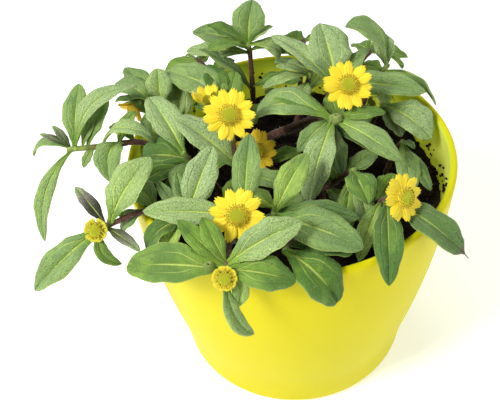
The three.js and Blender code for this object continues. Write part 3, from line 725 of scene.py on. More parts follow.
def leaf_material(colours):
    """Hairy leaves: a pale midrib, two side veins, and dark dots on a grey bloom.

    The tone holds how young a leaf is, how dark, how much grey bloom it has, and how purple it is.
    Where that last one is 2, the leaf has dried.
    """
    finish = Finish("hairy_leaf", 0.55, specular=0.25, subsurface=0.08, sheen=0.05)
    ease, math_node = finish.ease, finish.math
    along, across = finish.place()
    sideways = math_node("ABSOLUTE", (across - 0.5) * 2.0)
    young, dark, bloom, purple = finish.tone()
    # The midrib narrows and fades towards the tip
    midrib = (1.0 - ease(sideways / (0.15 - along * 0.13), 0.3, 1.0)) * ease(along, 0.92, 0.5)
    # One side vein on each half leaves the midrib near the base and runs along the margin
    wander = (finish.noise(180.0) - 0.5) * 0.07
    side_gap = math_node("ABSOLUTE", sideways - ease(along, 0.02, 0.5) * 0.52 + wander)
    side_vein = 1.0 - ease(side_gap, 0.012, 0.055)
    pale_vein = side_vein * ease(along, 0.72, 0.3)
    # Its outer half is painted darker as painted shade in its sunken groove
    vein_groove_shade = side_vein * ease(along, 0.5, 0.7) * ease(along, 0.95, 0.7)
    # Fine veins leave the midrib at a slant
    slant = along * 40.0 - sideways * 14.0 + finish.noise(150.0) * 4.0
    fine_vein = math_node("POWER", math_node("MAXIMUM", math_node("SINE", slant), 0.0), 10.0)
    # Pits where the hairs stand, close together, with darker dots among them
    pit = ease(finish.cells("Distance", 1500.0), 0.3, 0.62)
    gap, chance = finish.cells(("Distance", "Color"), 1150.0)
    dot = ease(gap - (chance * 0.2 + 0.13), 0.06, -0.06)
    # The ground is greener beside the midrib and in soft patches, less so on a dark leaf
    lighter = 0.5 - dark * 0.3
    near_rib = math_node("MAXIMUM", ease(sideways, 0.5, 0.1) * ease(along, 0.7, 0.2), ease(along, 0.22, 0.04))
    # The grey bloom lies on the flats and thins out at the base
    patch = finish.noise(230.0, 3.0, 0.6)
    frost = bloom * (patch * 0.45 + 0.55) * (1.0 - dark * 0.55) * ease(along, 0.05, 0.4)
    ground = finish.layers(
        colours["mature"], colours,
        (young, "young"),
        (dark, "dark"),
        (ease(finish.noise(70.0, 3.0, 0.55), 0.4, 0.6) * 0.7, "deep"),
        (ease(finish.noise(120.0, 2.0), 0.5, 0.66) * lighter, "fresh"),
        (near_rib * lighter, "fresh"),
        (frost, "bloom"),
        (pit * (bloom * 0.26 + 0.2), "pit"),
        (dot * (bloom * 0.5 + 0.06), "dot"),
        (fine_vein * 0.1, "pit"),
        # Painted shade in the side veins' sunken outer half
        (vein_groove_shade * 0.14, "dot"),
        (pale_vein * (0.8 - dark * 0.5), "vein"),
        (ease(sideways, 0.93, 1.0) * 0.4, "vein"),
    )
    # Purple leaves are nearly black at the base, with a grey flush and a green tip
    flush = finish.layers(
        colours["purple"], colours, (ease(along, 0.35, 0.75), "flush"), (pit * 0.4, "purple"))
    spread = math_node("MINIMUM", purple, 1.0) * ease(along + patch * 0.3, 1.15, 0.8)
    ground = finish.layers(
        finish.mix(spread, ground, flush), colours,
        (midrib * (0.95 - dark * 0.5), "midrib"), (ease(purple, 1.2, 1.8), "dried"))
    # Veins lie low on the top, and pits lie between the raised cells
    relief = midrib * -1.1 - side_vein * 0.9 - fine_vein * 0.4 - pit * 0.6 - dot * 0.5
    return finish.paint(ground, relief, 0.00032, 0.95)


def stem_material(colours):
    """Stems: woody red-brown low down and green near the tip. The tone's red is the greenness."""
    finish = Finish("stem", 0.6, specular=0.3, sheen=0.2)
    streaks = finish.noise(500.0, 4.0, 0.6)
    bark = finish.mix(finish.ease(streaks, 0.35, 0.7), colours["bark"], colours["bark_light"])
    fresh = finish.mix(finish.ease(streaks, 0.4, 0.65), colours["green"], colours["green_light"])
    return finish.paint(finish.mix(finish.tone()[0], bark, fresh), streaks, 0.0002, 0.8)


def petal_material(colours):
    """Petals: bright yellow, deeper at the root, with fine streaks. The tone says their age and greenness."""
    finish = Finish("yellow_petal", 0.5, specular=0.3, subsurface=0.15, sheen=0.1)
    along, across = finish.place()
    age, green = finish.tone()[:2]
    streak = (finish.math("SINE", across * 44.0) + 1.0) * 0.5
    ground = finish.layers(
        colours["petal"], colours, (finish.ease(along, 0.45, 0.0), "root"), (streak * 0.16, "root"),
        (finish.noise(420.0) * 0.3, "pale"), (green, "unripe"), (age, "aged"))
    return finish.paint(ground, streak, 0.00012, 0.5)


def disc_material(colours):
    """Florets: green-yellow in the middle, yellower when open, with brown anthers."""
    finish = Finish("floret", 0.6, specular=0.3, subsurface=0.1)
    ripe, anther = finish.tone()[:2]
    mottle = finish.noise(1500.0)
    ground = finish.layers(
        colours["disc"], colours, (ripe, "ripe"), (mottle * 0.4, "shade"), (anther, "anther"))
    return finish.paint(ground, mottle, 0.0001, 0.6)


def plain_material(name, low, high, scale, roughness, depth, specular=0.4):
    """A finish of two mottled colours with its own relief."""
    finish = Finish(name, roughness, specular)
    mottle = finish.noise(scale, 5.0, 0.6)
    return finish.paint(finish.mix(finish.ease(mottle, 0.35, 0.68), low, high), mottle, depth, 0.9)


def pot_material(colours):
    """Satin lime-yellow plastic: even outside, painted lighter and greener inside as painted light through
    the thin wall, and dusted with soil.
    """
    finish = Finish("lime_plastic", 0.45, specular=0.1)
    inside, lip = finish.tone()[:2]
    # Thin plastic lets some light through, more so inside, where leaves shade it
    finish.set("Subsurface Radius", (1.0, 1.0, 0.2))
    finish.set("Subsurface Scale", 0.005)
    finish.set("Subsurface Weight", inside * 0.5 + 0.35)
    # The lip is painted greener and darker towards its inner edge, as painted shade where it turns into the
    # pot
    wall = finish.layers(
        colours["wall"], colours, (finish.ease(finish.noise(14.0, 2.0), 0.3, 0.7), "wall_deep"), (lip, "lip"))
    low = finish.ease(finish.out(2, "ShaderNodeSeparateXYZ", {0: finish.own}), 0.108, 0.094)
    dust = finish.ease(finish.noise(160.0, 6.0, 0.7) + finish.noise(45.0) + low * 0.1, 1.2, 1.26)
    # The lining is painted lighter and greener than the outside of the same plastic, as painted light shining
    # through the thin wall into its shade; the soil dust over it is dirt
    lining = finish.mix(dust * 0.85, colours["inside"], colours["dust"])
    return finish.paint(finish.mix(inside, wall, lining), finish.noise(1400.0, 2.0), 0.00002, 0.35)


# Geometry Nodes


def new_geometry_tree(name, sockets):
    """A geometry tree with named inputs. Returns its graph, its inputs and each input's identifier."""
    tree = bpy.data.node_groups.new(name, "GeometryNodeTree")
    identifiers = {}
    for label, kind in sockets.items():
        item = tree.interface.new_socket(name=label, in_out="INPUT", socket_type="NodeSocket" + kind)
        identifiers[label] = item.identifier
    tree.interface.new_socket(name="Geometry", in_out="OUTPUT", socket_type="NodeSocketGeometry")
    graph = Graph(tree)
    labels = tuple(sockets)
    return graph, dict(zip(labels, graph.out(labels, "NodeGroupInput"))), identifiers


def end_tree(graph, copies, material):
    """Realizes the copies, gives them their material, and sends them out. Returns the tree."""
    real = graph.out(0, "GeometryNodeRealizeInstances", {0: copies})
    painted = graph.out(0, "GeometryNodeSetMaterial", {"Geometry": real, "Material": material})
    graph.add("NodeGroupOutput", {0: painted})
    return graph.tree


def spread_between(graph, low, high, seed):
    """A random value for each point."""
    return graph.out(1, "FunctionNodeRandomValue", {2: low, 3: high, "Seed": seed}, data_type="FLOAT")


def points_round(graph, count, turn, reach, height):
    """Points at an angle and a distance about the axis, and at a height."""
    x, y = (graph.math(name, turn) * reach for name in ("COSINE", "SINE"))
    return graph.out(0, "GeometryNodePoints", {"Count": count, "Position": graph.vector(x, y, height)})


def placed_copies(graph, points, copy, rotation, scale, selection=True):
    """Instances of an object on points."""
    shape = graph.out("Geometry", "GeometryNodeObjectInfo", {"Object": copy})
    return graph.out(0, "GeometryNodeInstanceOnPoints", {
        "Points": points, "Instance": shape, "Rotation": rotation, "Scale": scale, "Selection": selection,
    })


def ring_tree():
    """Petals set round a circle, each a little off its place."""
    graph, given, identifiers = new_geometry_tree("petal_ring", {
        "Petal": "Object", "Count": "Int", "Radius": "Float", "Tilt": "Float", "Unevenness": "Float",
        "Seed": "Int", "Material": "Material",
    })
    index = graph.out(0, "GeometryNodeInputIndex")
    uneven, seed, seed_two = given["Unevenness"], given["Seed"], given["Seed"] + 7.0
    turn = index * (2 * math.pi) / given["Count"] + spread_between(graph, -0.1, 0.1, seed) * uneven
    lift = graph.math("MODULO", index, 2.0) * 0.00012
    points = points_round(graph, given["Count"], turn, given["Radius"], lift)
    pitch = (given["Tilt"] + spread_between(graph, -0.16, 0.1, seed_two) * uneven) * -1.0
    rotation = graph.vector(spread_between(graph, -0.2, 0.2, seed) * uneven, pitch, turn)
    size = spread_between(graph, 0.93, 1.0, seed_two)
    petals = placed_copies(graph, points, given["Petal"], rotation, size)
    return end_tree(graph, petals, given["Material"]), identifiers


def floret_tree():
    """Florets set in a spiral over a dome. Those beyond the Opening are open ones."""
    graph, given, identifiers = new_geometry_tree("floret_dome", {
        "Closed floret": "Object", "Open floret": "Object", "Count": "Int", "Radius": "Float",
        "Height": "Float", "Opening": "Float", "Open florets": "Bool", "Seed": "Int", "Material": "Material",
    })
    index = graph.out(0, "GeometryNodeInputIndex")
    turn = index * GOLDEN_ANGLE
    share = graph.math("SQRT", (index + 0.5) / given["Count"])
    height = (1.0 - graph.math("POWER", share, 2.2)) * given["Height"]
    points = points_round(graph, given["Count"], turn, share * given["Radius"], height)
    rotation = graph.vector(0.0, graph.math("POWER", share, 1.5) * 0.9, turn)
    size = spread_between(graph, 0.85, 1.15, given["Seed"])
    outer = graph.math("GREATER_THAN", share, given["Opening"])
    closed = placed_copies(graph, points, given["Closed floret"], rotation, size, 1.0 - outer)
    opened = placed_copies(graph, points, given["Open floret"], rotation, size, outer)
    choice = {0: given["Open florets"], 1: closed, 2: opened}
    chosen = graph.out(0, "GeometryNodeSwitch", choice, input_type="GEOMETRY")
    return end_tree(graph, chosen, given["Material"]), identifiers


def scatter_tree():
    """Copies scattered over a surface, as thick as its hair attribute says, standing on its faces."""
    graph, given, identifiers = new_geometry_tree("scatter", {
        "Surface": "Geometry", "Copy": "Object", "Density": "Float", "Smallest": "Float",
        "Largest": "Float", "Lean": "Float", "Seed": "Int", "Material": "Material",
    })
    seed, seed_two, lean = given["Seed"], given["Seed"] + 3.0, given["Lean"]
    thick = graph.out(0, "GeometryNodeInputNamedAttribute", {"Name": "hair"}, data_type="FLOAT")
    points, standing = graph.out(("Points", "Rotation"), "GeometryNodeDistributePointsOnFaces", {
        "Mesh": given["Surface"], "Density": thick * given["Density"], "Seed": seed,
    }, distribute_method="RANDOM")
    leaning = graph.vector(
        spread_between(graph, -1.0, 1.0, seed_two) * lean,
        spread_between(graph, -1.0, 1.0, seed + 5.0) * lean,
        spread_between(graph, 0.0, 2 * math.pi, seed))
    turned = graph.out(0, "FunctionNodeRotateRotation", {0: standing, 1: leaning}, rotation_space="LOCAL")
    size = spread_between(graph, given["Smallest"], given["Largest"], seed_two)
    copies = placed_copies(graph, points, given["Copy"], turned, size)
    return end_tree(graph, copies, given["Material"]), identifiers


def run_tree(carrier, tree, values, name):
    """Runs a geometry tree on a carrier object, and returns what it makes as a plain mesh."""
    modifier = carrier.modifiers.new(name, "NODES")
    modifier.node_group, identifiers = tree
    for label, value in values.items():
        modifier[identifiers[label]] = value
    bpy.context.view_layer.update()
    evaluated = carrier.evaluated_get(bpy.context.evaluated_depsgraph_get())
    mesh = bpy.data.meshes.new_from_object(evaluated)
    carrier.modifiers.remove(modifier)
    mesh.name = name
    return mesh


# Leaves and stems


def add_leaf(shell, root, leaf, kind, purple, dried, chance):
    """One closed blade with a folded midrib, waved and toothed margins and raised cells."""
    _, heading, rise, length, width = leaf[:5]
    arch, roll, bend, hook = (*leaf[5:], *(1, 0, 0, 0)[len(leaf) - 5:])
    forward = direction(heading, rise)
    right = Matrix.Rotation(math.radians(-roll), 3, forward) @ direction(heading - 90, 0)
    bow = right.cross(forward) * (arch * 4 / 3) + right * (bend * 4 / 3)
    midrib = [root, root + forward * (length / 3) + bow, root + forward * (length * (2 / 3 + hook)) + bow,
              root + forward * length]
    phase = chance.uniform(0, 6.28)
    waves = chance.uniform(1.6, 2.6)
    wave_height = chance.uniform(0.35, 0.9) * min(1.0, width / 12)
    teeth = chance.choice((4, 5, 5, 6))
    tooth = chance.uniform(0.03, 0.06)
    curl = chance.uniform(0.1, 0.6)
    puff = chance.uniform(0.07, 0.14)
    roll_down = chance.uniform(0.6, 2.2)
    fold = math.radians(FOLD_ANGLE)
    young, dark, grey = (max(0.0, min(1.0, value + chance.uniform(-0.07, 0.07))) for value in kind)
    tops, bottoms, places = [], [], []
    for i in range(BLADE_ROWS + 1):
        at = (i / BLADE_ROWS) ** 0.9
        centre = bezier(midrib, at)
        ahead = bezier_tangent(midrib, at)
        across = (right - ahead * right.dot(ahead)).normalized()
        over = across.cross(ahead)
        half = width / 2 * blend_between(LEAF_STATIONS, LEAF_OUTLINE, at)
        if dried and at > DRIED_FROM:
            half *= max(0.1, 1 - 12 * (at - DRIED_FROM))
        saw = (at * teeth + phase) % 1
        if TEETH[0] < at < TEETH[1]:
            half *= 1 + tooth * (saw if saw < 0.75 else 3 * (1 - saw)) - tooth / 2
        half = max(half, 0.05)
        for j in range(BLADE_COLUMNS + 1):
            side = 2 * j / BLADE_COLUMNS - 1
            away = abs(side)
            lift = half * math.sin(fold) * ((1 + curl) * away - curl * away * away)
            lift += puff * half * math.sin(math.pi * away) - roll_down * half * max(0.0, away - 0.7) ** 2
            wave = wave_height * math.sin(waves * 2 * math.pi * at + phase + (1.3 if side > 0 else 0))
            lift += wave * away * away * min(1.0, at * 2.5) * min(1.0, half / 3)
            cells = math.sin(at * length * 0.9 - away * 3.2 + phase) * 0.08
            cells *= math.sin(min(1.0, away) * math.pi) * min(1.0, half / 2.5)
            rib = RIB_DEPTH * math.exp(-(away / RIB_WIDTH) ** 2)
            base = centre + across * (side * half * math.cos(fold))
            top = lift + GROOVE_HEIGHT * (1 - away) - rib + cells
            thickness = BLADE_THICKNESS * (0.35 + 0.65 * (1 - away)) + 1.6 * rib * (1 - at)
            tops.append(base + over * top)
            bottoms.append(base + over * (top - thickness))
            places.append((at, 0.5 + side / 2))
    tones = [(young, dark, grey, 2.0 if dried and at > DRIED_FROM else purple) for at, _ in places] * 2
    hair = [0.6] * len(tops) + [1.0] * len(tops)
    shell.add((tops + bottoms, closed_sheet(BLADE_ROWS, BLADE_COLUMNS)), 0, places * 2, tones, hair)


def root_share(points, place):
    """The share of the curve at a place counted back from the tip."""
    return 1 - place / (len(points) - 1)


def add_stem(shell, shoot, points, chance):
    """A round stem, thicker at the leaf pairs, brown low down and green near the tip."""
    radius = shoot.get("radius", STEM_RADIUS)
    roots = sorted(root_share(points, leaf[0]) for leaf in shoot["leaves"])
    steps = STEM_STEPS * (len(points) - 1)
    side = Vector((0.31, 0.95, 0))
    green_from = shoot.get("green_from", GREEN_FROM)
    rings, tones, places = [], [], []
    for i in range(steps + 1):
        share = i / steps
        centre = catmull_rom(points, share)
        ahead = tangent_of(points, share)
        side = (side - ahead * side.dot(ahead)).normalized()
        over = ahead.cross(side)
        knot = max((math.exp(-((share - root) / KNOT_LENGTH) ** 2) for root in roots), default=0)
        reach = radius * (1 + STEM_TAPER * (0.5 - share)) * (1 + KNOT_SWELL * knot)
        ring = []
        for j in range(STEM_SIDES):
            angle = 2 * math.pi * j / STEM_SIDES
            rough = 1 + 0.06 * noise.noise(Vector((angle * 2, share * 30, radius)))
            ring.append(centre + (side * math.cos(angle) + over * math.sin(angle)) * reach * rough)
        rings.append(ring)
        green = max(0.0, min(1.0, (share - green_from) / 0.12 + 0.35 * knot * (share > 0.6)))
        tones.extend([(green, chance.random(), 0.0, 0.0)] * STEM_SIDES)
        places.extend([(share, j / STEM_SIDES) for j in range(STEM_SIDES)])
    shell.add(ring_tube(rings), 1, places, tones, 1.4)


def bloom_matrix(bloom, tip):
    """The place of a bloom on its stem's tip, in millimetres, with +Z turned the way it faces."""
    facing = direction(*bloom["facing"])
    turn = Vector((0, 0, 1)).rotation_difference(facing).to_matrix().to_4x4()
    return Matrix.Translation(tip + facing * CUP_HEIGHT) @ turn


def bract(spine, sideways, halves, thickness):
    """A narrow scale along a curve, with its half widths at even steps."""
    rings = []
    for k, half in enumerate(halves):
        along = k / (len(halves) - 1)
        centre = bezier(spine, along)
        over = bezier_tangent(spine, along).cross(sideways) * thickness
        rings.append([centre - sideways * half, centre - over, centre + sideways * half, centre + over])
    return ring_tube(rings)


def outward_sideways(turn):
    """The level directions away from the axis and along its circle, at an angle."""
    return Vector((math.cos(turn), math.sin(turn), 0)), Vector((-math.sin(turn), math.cos(turn), 0))


def up(height):
    """A step upwards."""
    return Vector((0, 0, height))


def add_cup(shell, bloom, tip, chance):
    """The green cup under a bloom, with its pointed bracts."""
    disc = bloom["disc"]
    place = bloom_matrix(bloom, tip)
    profile = [(0.6, -CUP_HEIGHT - 0.9), (1.1, -CUP_HEIGHT - 0.5), (disc * 0.55, -CUP_HEIGHT * 0.85),
               (disc * 0.85, -CUP_HEIGHT * 0.5), (disc * 0.98, CUP_TOP - 0.5), (disc * 0.9, CUP_TOP)]
    shell.add(lathe(profile, 20), 1, None, (0.9, 0.3, 0, 0), 1.2, place)
    shares = [k / 6 for k in range(7)]
    halves = [0.95 * (1 - along) ** 0.6 * (0.55 + 0.75 * along) + 0.03 for along in shares]
    for i in range(BRACTS):
        outward, sideways = outward_sideways(2 * math.pi * (i + chance.uniform(-0.1, 0.1)) / BRACTS)
        reach = disc * chance.uniform(1.1, 1.3)
        spine = [outward * (disc * 0.6) + up(-CUP_HEIGHT * 0.8), outward * disc + up(-CUP_HEIGHT * 0.35),
                 outward * reach + up(-0.35), outward * (reach + 0.4) + up(0.1)]
        shell.add(bract(spine, sideways, halves, 0.22), 1, None, (1.0, 0.5, 0, 0), 1.2, place)


def add_bud(shell, size, tip, chance):
    """A closed green bud of overlapping bracts, five in each of three layers."""
    halves = [size * 0.6 * math.sin(math.pi * (0.12 + 0.8 * k / 7)) ** 0.8 for k in range(8)]
    for layer, (lean, lift) in enumerate(((0.35, -0.1), (0.75, -0.05), (1.05, 0.0))):
        for i in range(5):
            outward, sideways = outward_sideways(2 * math.pi * (i + layer * 0.5) / 5)
            spine = [tip + up(-size * 0.7), tip + outward * (size * lean) + up(-size * 0.4),
                     tip + outward * (size * lean) + up(size * (0.6 + lift)),
                     tip + outward * (size * 0.25) + up(size * (1.0 + lift))]
            form = bract(spine, sideways, halves, 0.25)
            shell.add(form, 1, None, (0.85, chance.random(), 0, 0), 1.2)


def rear_shoots():
    """The shoots at the back, worked out from their pairs of leaves."""
    made = []
    for index, azimuth in enumerate(REAR_AZIMUTHS):
        out = direction(azimuth, 0)
        leaves = []
        for i, pair in enumerate(REAR_PAIRS):
            for side in (-1, 1):
                sway = REAR_SWAY * math.sin(7 * index + 3 * i + 2 * side)
                leaves.append([pair["place"], azimuth + side * pair["spread"] + sway, pair["rise"] + sway,
                               pair["length"] + sway / 2, pair["width"], 2])
        made.append({
            "name": f"shoot_rear_{index + 1}",
            "foot": [REAR_FOOT * out.x, REAR_FOOT * out.y],
            "stem": [[radius * out.x, radius * out.y, height] for radius, height in REAR_STEM],
            "leaves": leaves,
        })
    return made


def build_shoot(shoot, materials):
    """One leafy shoot as one piece, with the cup or bud at its tip."""
    name = shoot["name"]
    chance = random.Random(name)
    shell = Shell()
    # The stem's curve runs straight up out of the soil, and then through its own points
    points = [Vector((*shoot["foot"], height)) for height in (STEM_FOOT, *COLLAR_HEIGHTS)]
    points += [Vector(point) for point in shoot["stem"]]
    add_stem(shell, shoot, points, chance)
    kinds = shoot.get("kinds", "").split()
    for index, leaf in enumerate(shoot["leaves"]):
        root = catmull_rom(points, root_share(points, leaf[0]))
        kind = LEAF_KINDS[kinds[index] if index < len(kinds) else "fresh"]
        purple = shoot.get("purple", {}).get(index, 0.0)
        add_leaf(shell, root, leaf, kind, purple, index in shoot.get("dried", ()), chance)
    for bloom in BLOOMS:
        if bloom["shoot"] == name:
            add_cup(shell, bloom, points[-1], chance)
    if "bud" in shoot:
        add_bud(shell, shoot["bud"], points[-1], chance)
    if "side_bud" in shoot:
        place, size = Vector(shoot["side_bud"][0]), shoot["side_bud"][1]
        add_bud(shell, size, place, chance)
        # Its neck runs to the stem
        turns = [math.pi / 3 * j for j in range(6)]
        ends = [[end + Vector((0.5 * math.cos(turn), 0.35 * math.sin(turn), 0.5 * math.sin(turn)))
                 for turn in turns] for end in (place + up(-size * 0.4), points[-2])]
        shell.add(ring_tube(ends), 1, None, (1.0, 0.5, 0, 0), 0.8)
    finish_piece(shell.object(name + "_foliage", materials, 50), "leaves", name)


# Blooms


def petal_shape(name, length, width, cup, tone):
    """One petal along +X, with three teeth at its tip and two furrows along it."""
    tops, bottoms, places = [], [], []
    for i in range(PETAL_ROWS + 1):
        along = i / PETAL_ROWS
        half = width / 2 * (0.4 + 0.6 * math.sin(math.pi / 2 * min(1.0, along * 1.35)))
        half *= 1 - PETAL_TAPER * (max(0.0, along - 0.55) / 0.45) ** 1.5
        for j in range(PETAL_COLUMNS + 1):
            side = 2 * j / PETAL_COLUMNS - 1
            valley = 1 - abs(math.cos(1.5 * math.pi * side))
            inset = TOOTH_DEPTH * valley + 0.13 * side * side
            reach = length * (along - inset * along ** 4)
            ridge = math.cos(3 * math.pi * side) * (1 - 0.5 * abs(side))
            furrow = FURROW_DEPTH * ridge * math.sin(math.pi * min(1.0, along + 0.1))
            bend = cup * along ** 2 * length - 0.06 * length * side * side * (0.4 + along)
            base = Vector((reach, side * half, bend + furrow))
            tops.append(base + up(PETAL_HALF))
            bottoms.append(base - up(PETAL_HALF))
            places.append((along, 0.5 + side / 2))
    shell = Shell()
    shell.add((tops + bottoms, closed_sheet(PETAL_ROWS, PETAL_COLUMNS, True)), 0, places * 2, tone)
    return shell.object(name, [])


def floret_shape(name, radius, height, anther=None):
    """A floret along +Z: a closed knob, or an open tube with anthers as dark as given."""
    forms = [(CLOSED_FLORET, 6, (0.1, 0, 0, 0))]
    if anther:
        forms = [(OPEN_FLORET, 6, (1, 0, 0, 0)), (ANTHERS, 5, (0, anther, 0, 0))]
    shell = Shell()
    for profile, sides, tone in forms:
        shell.add(lathe([(radius * out, height * rise) for out, rise in profile], sides), tone=tone)
    return shell.object(name, [])


def build_bloom(bloom, tip, trees, materials):
    """The petals and the disc of one bloom, each as a piece."""
    name = bloom["name"]
    state = {**OPEN_BLOOM, **bloom}
    seed = len(name) * 7 + bloom["petals"]
    place = Matrix.Scale(MM, 4) @ bloom_matrix(bloom, tip) @ Matrix.Scale(1 / MM, 4)
    radius, disc = bloom["radius"], bloom["disc"]
    start = disc * state["start"]
    lift = 2 * bloom["tilt"] * (radius - disc)
    length = math.hypot(radius - start, lift)
    width = 2 * math.pi * (disc + 0.55 * (radius - disc)) / bloom["petals"] * state["overlap"]
    carrier = object_of(bpy.data.meshes.new("carrier"), "carrier")
    petal = petal_shape("petal", length, width, state["cup"], (state["age"], state["green"], 0, 0))
    mesh = run_tree(carrier, trees["ring"], {
        "Petal": petal, "Count": bloom["petals"], "Radius": start * MM,
        "Tilt": math.atan2(lift, radius - start), "Unevenness": 1.0, "Seed": seed,
        "Material": materials["petal"],
    }, name + "_ray")
    mesh.transform(place @ Matrix.Translation(up(PETAL_LIFT * MM)))
    finish_piece(object_of(mesh, name + "_ray"), "petals", name + "_petals")
    head = disc * state["head"]
    closed = floret_shape("closed_floret", 0.3, 0.6)
    opened = floret_shape("open_floret", 0.42, 0.95, state["anther"])
    domes = [run_tree(carrier, trees["florets"], {
        "Closed floret": closed, "Open floret": opened, "Count": int(crowd * head * head),
        "Radius": head * 1.02 * MM, "Height": DOME_HEIGHT * MM, "Opening": state["opening"],
        "Open florets": is_open, "Seed": seed, "Material": materials["disc"],
    }, name + "_florets") for is_open, crowd in ((False, CLOSED_CROWD), (True, OPEN_CROWD))]
    form = lathe([(head * share, height) for share, height in HEAD_PROFILE], 28)
    # Beyond the opening edge the head is ripe yellow, darkened by the ring's share as painted shadow between
    # petals and head
    edge = head * state["opening"]
    ripe, unripe = (1.0, state["ring"], 0, 0), (0.2, 0, 0, 0)
    core = Shell()
    core.add(form, 0, None, [ripe if corner.xy.length > edge else unripe for corner in form[0]])
    piece = core.object(name + "_florets", [materials["disc"]], 60)
    joined = bmesh.new()
    joined.from_mesh(piece.data)
    for mesh in domes:
        mesh.transform(Matrix.Translation(up(DOME_LIFT * MM)))
        joined.from_mesh(mesh)
    joined.to_mesh(piece.data)
    joined.free()
    piece.data.transform(place @ Matrix.Translation(up(HEAD_LIFT * MM)))
    piece.data.shade_smooth()
    finish_piece(piece, "flower_discs", name + "_disc")
    drop(carrier, petal, closed, opened)


# Pot and soil


def wall_points(count):
    """The pot's outer wall from waist to rim, bulging a little outwards."""
    end = (RIM_RADIUS, POT_HEIGHT - LIP_DROP)
    shares = [i / count for i in range(count + 1)]
    return [tuple((1 - t) * (1 - t) * WAIST[k] + 2 * (1 - t) * t * WALL_BULGE[k] + t * t * end[k]
                  for k in (0, 1)) for t in shares]


def build_pot(material):
    """The round pot with its rolled lip and its hollow inside."""
    foot_edge = FOOT_RADIUS - FOOT_FILLET
    profile = [(AXIS, 0), (foot_edge * 0.6, 0), (foot_edge, 0)]
    for i in range(1, 9):
        angle = math.pi / 2 * i / 8
        profile.append((foot_edge + FOOT_FILLET * math.sin(angle), FOOT_FILLET * (1 - math.cos(angle))))
    profile.extend(wall_points(40))
    outside = len(profile)
    inner = RIM_RADIUS - LIP_THICKNESS
    middle = (RIM_RADIUS + inner) / 2
    for i in range(1, 12):
        angle = math.pi * i / 12
        profile.append((middle + LIP_THICKNESS / 2 * math.cos(angle),
                        POT_HEIGHT - LIP_DROP + LIP_DROP * math.sin(angle) ** 0.8))
    lip = len(profile)
    profile.append((inner, POT_HEIGHT - LIP_DROP))
    inside_wall = reversed(wall_points(20))
    profile.extend((radius - WALL_THICKNESS, height - INSIDE_DROP) for radius, height in inside_wall)
    floor_edge = FOOT_RADIUS - WALL_THICKNESS - 1
    profile.extend([(floor_edge, FLOOR_THICKNESS + FLOOR_FILLET),
                    (floor_edge - FLOOR_FILLET, FLOOR_THICKNESS), (AXIS, FLOOR_THICKNESS)])
    # The tone marks the inside, which the material paints lighter and greener as painted light through the
    # thin wall
    tones = []
    for i in range(len(profile)):
        inside = 0.0 if i < outside else min(1.0, max(0.0, (i - lip + 4) / 5))
        # The lip's painted shade grows from its outer side to its inner edge
        lip_painted_shade = (i - outside) / (lip - outside) if outside <= i <= lip else 0.0
        tones.extend([(inside, lip_painted_shade, 0, 0)] * POT_SIDES)
    shell = Shell()
    shell.add(lathe(profile, POT_SIDES), 0, None, tones)
    finish_piece(shell.object("pot_shell", [material], 60), "pot_plastic", "pot")


def soil_top(x, y):
    """Height of the soil's uneven top."""
    lumps = math.sin(0.21 * x + 1.3) * math.cos(0.17 * y - 0.4) + 0.5 * math.sin(0.47 * x - 0.39 * y)
    away = ((x - SOIL_DIP["x"]) ** 2 + (y - SOIL_DIP["y"]) ** 2) / (2 * SOIL_DIP["spread"] ** 2)
    return SOIL_HEIGHT + SOIL_LUMP * lumps - SOIL_DIP["depth"] * math.exp(-away)


def crumb_shape():
    """One rough crumb, a millimetre in radius and somewhat flat."""
    chance = random.Random(5)
    crumb = bmesh.new()
    bmesh.ops.create_icosphere(crumb, subdivisions=1, radius=0.001)
    for vertex in crumb.verts:
        vertex.co *= chance.uniform(0.65, 1.25)
        vertex.co.z *= 0.7
    shape = bpy.data.meshes.new("crumb")
    crumb.to_mesh(shape)
    crumb.free()
    return object_of(shape, "crumb")


def wall_band():
    """The strip of inner wall where crumbs stick in clumps, thickest low down and at the right."""
    rings, stick = [], []
    for i in range(BAND_ROWS + 1):
        rise = i / BAND_ROWS
        radius, height = (start + step * i / BAND_ROWS for start, step in zip(BAND_BOTTOM, BAND_RISE))
        ring = []
        for j in reversed(range(BAND_COLUMNS)):
            angle = 2 * math.pi * j / BAND_COLUMNS
            ring.append(Vector((radius * math.cos(angle), radius * math.sin(angle), height)))
            clump = noise.noise(Vector((math.cos(angle) * 4, math.sin(angle) * 4, height * 0.16)))
            right = 0.5 + 0.5 * math.cos(angle - 0.1)
            stick.append(max(0.0, clump * 2.2 + 0.15 - 0.5 * rise) * (0.25 + right * right))
        rings.append(ring)
    band = Shell()
    band.add(ring_tube(rings, False), hair=stick)
    return band.object("lining", [])


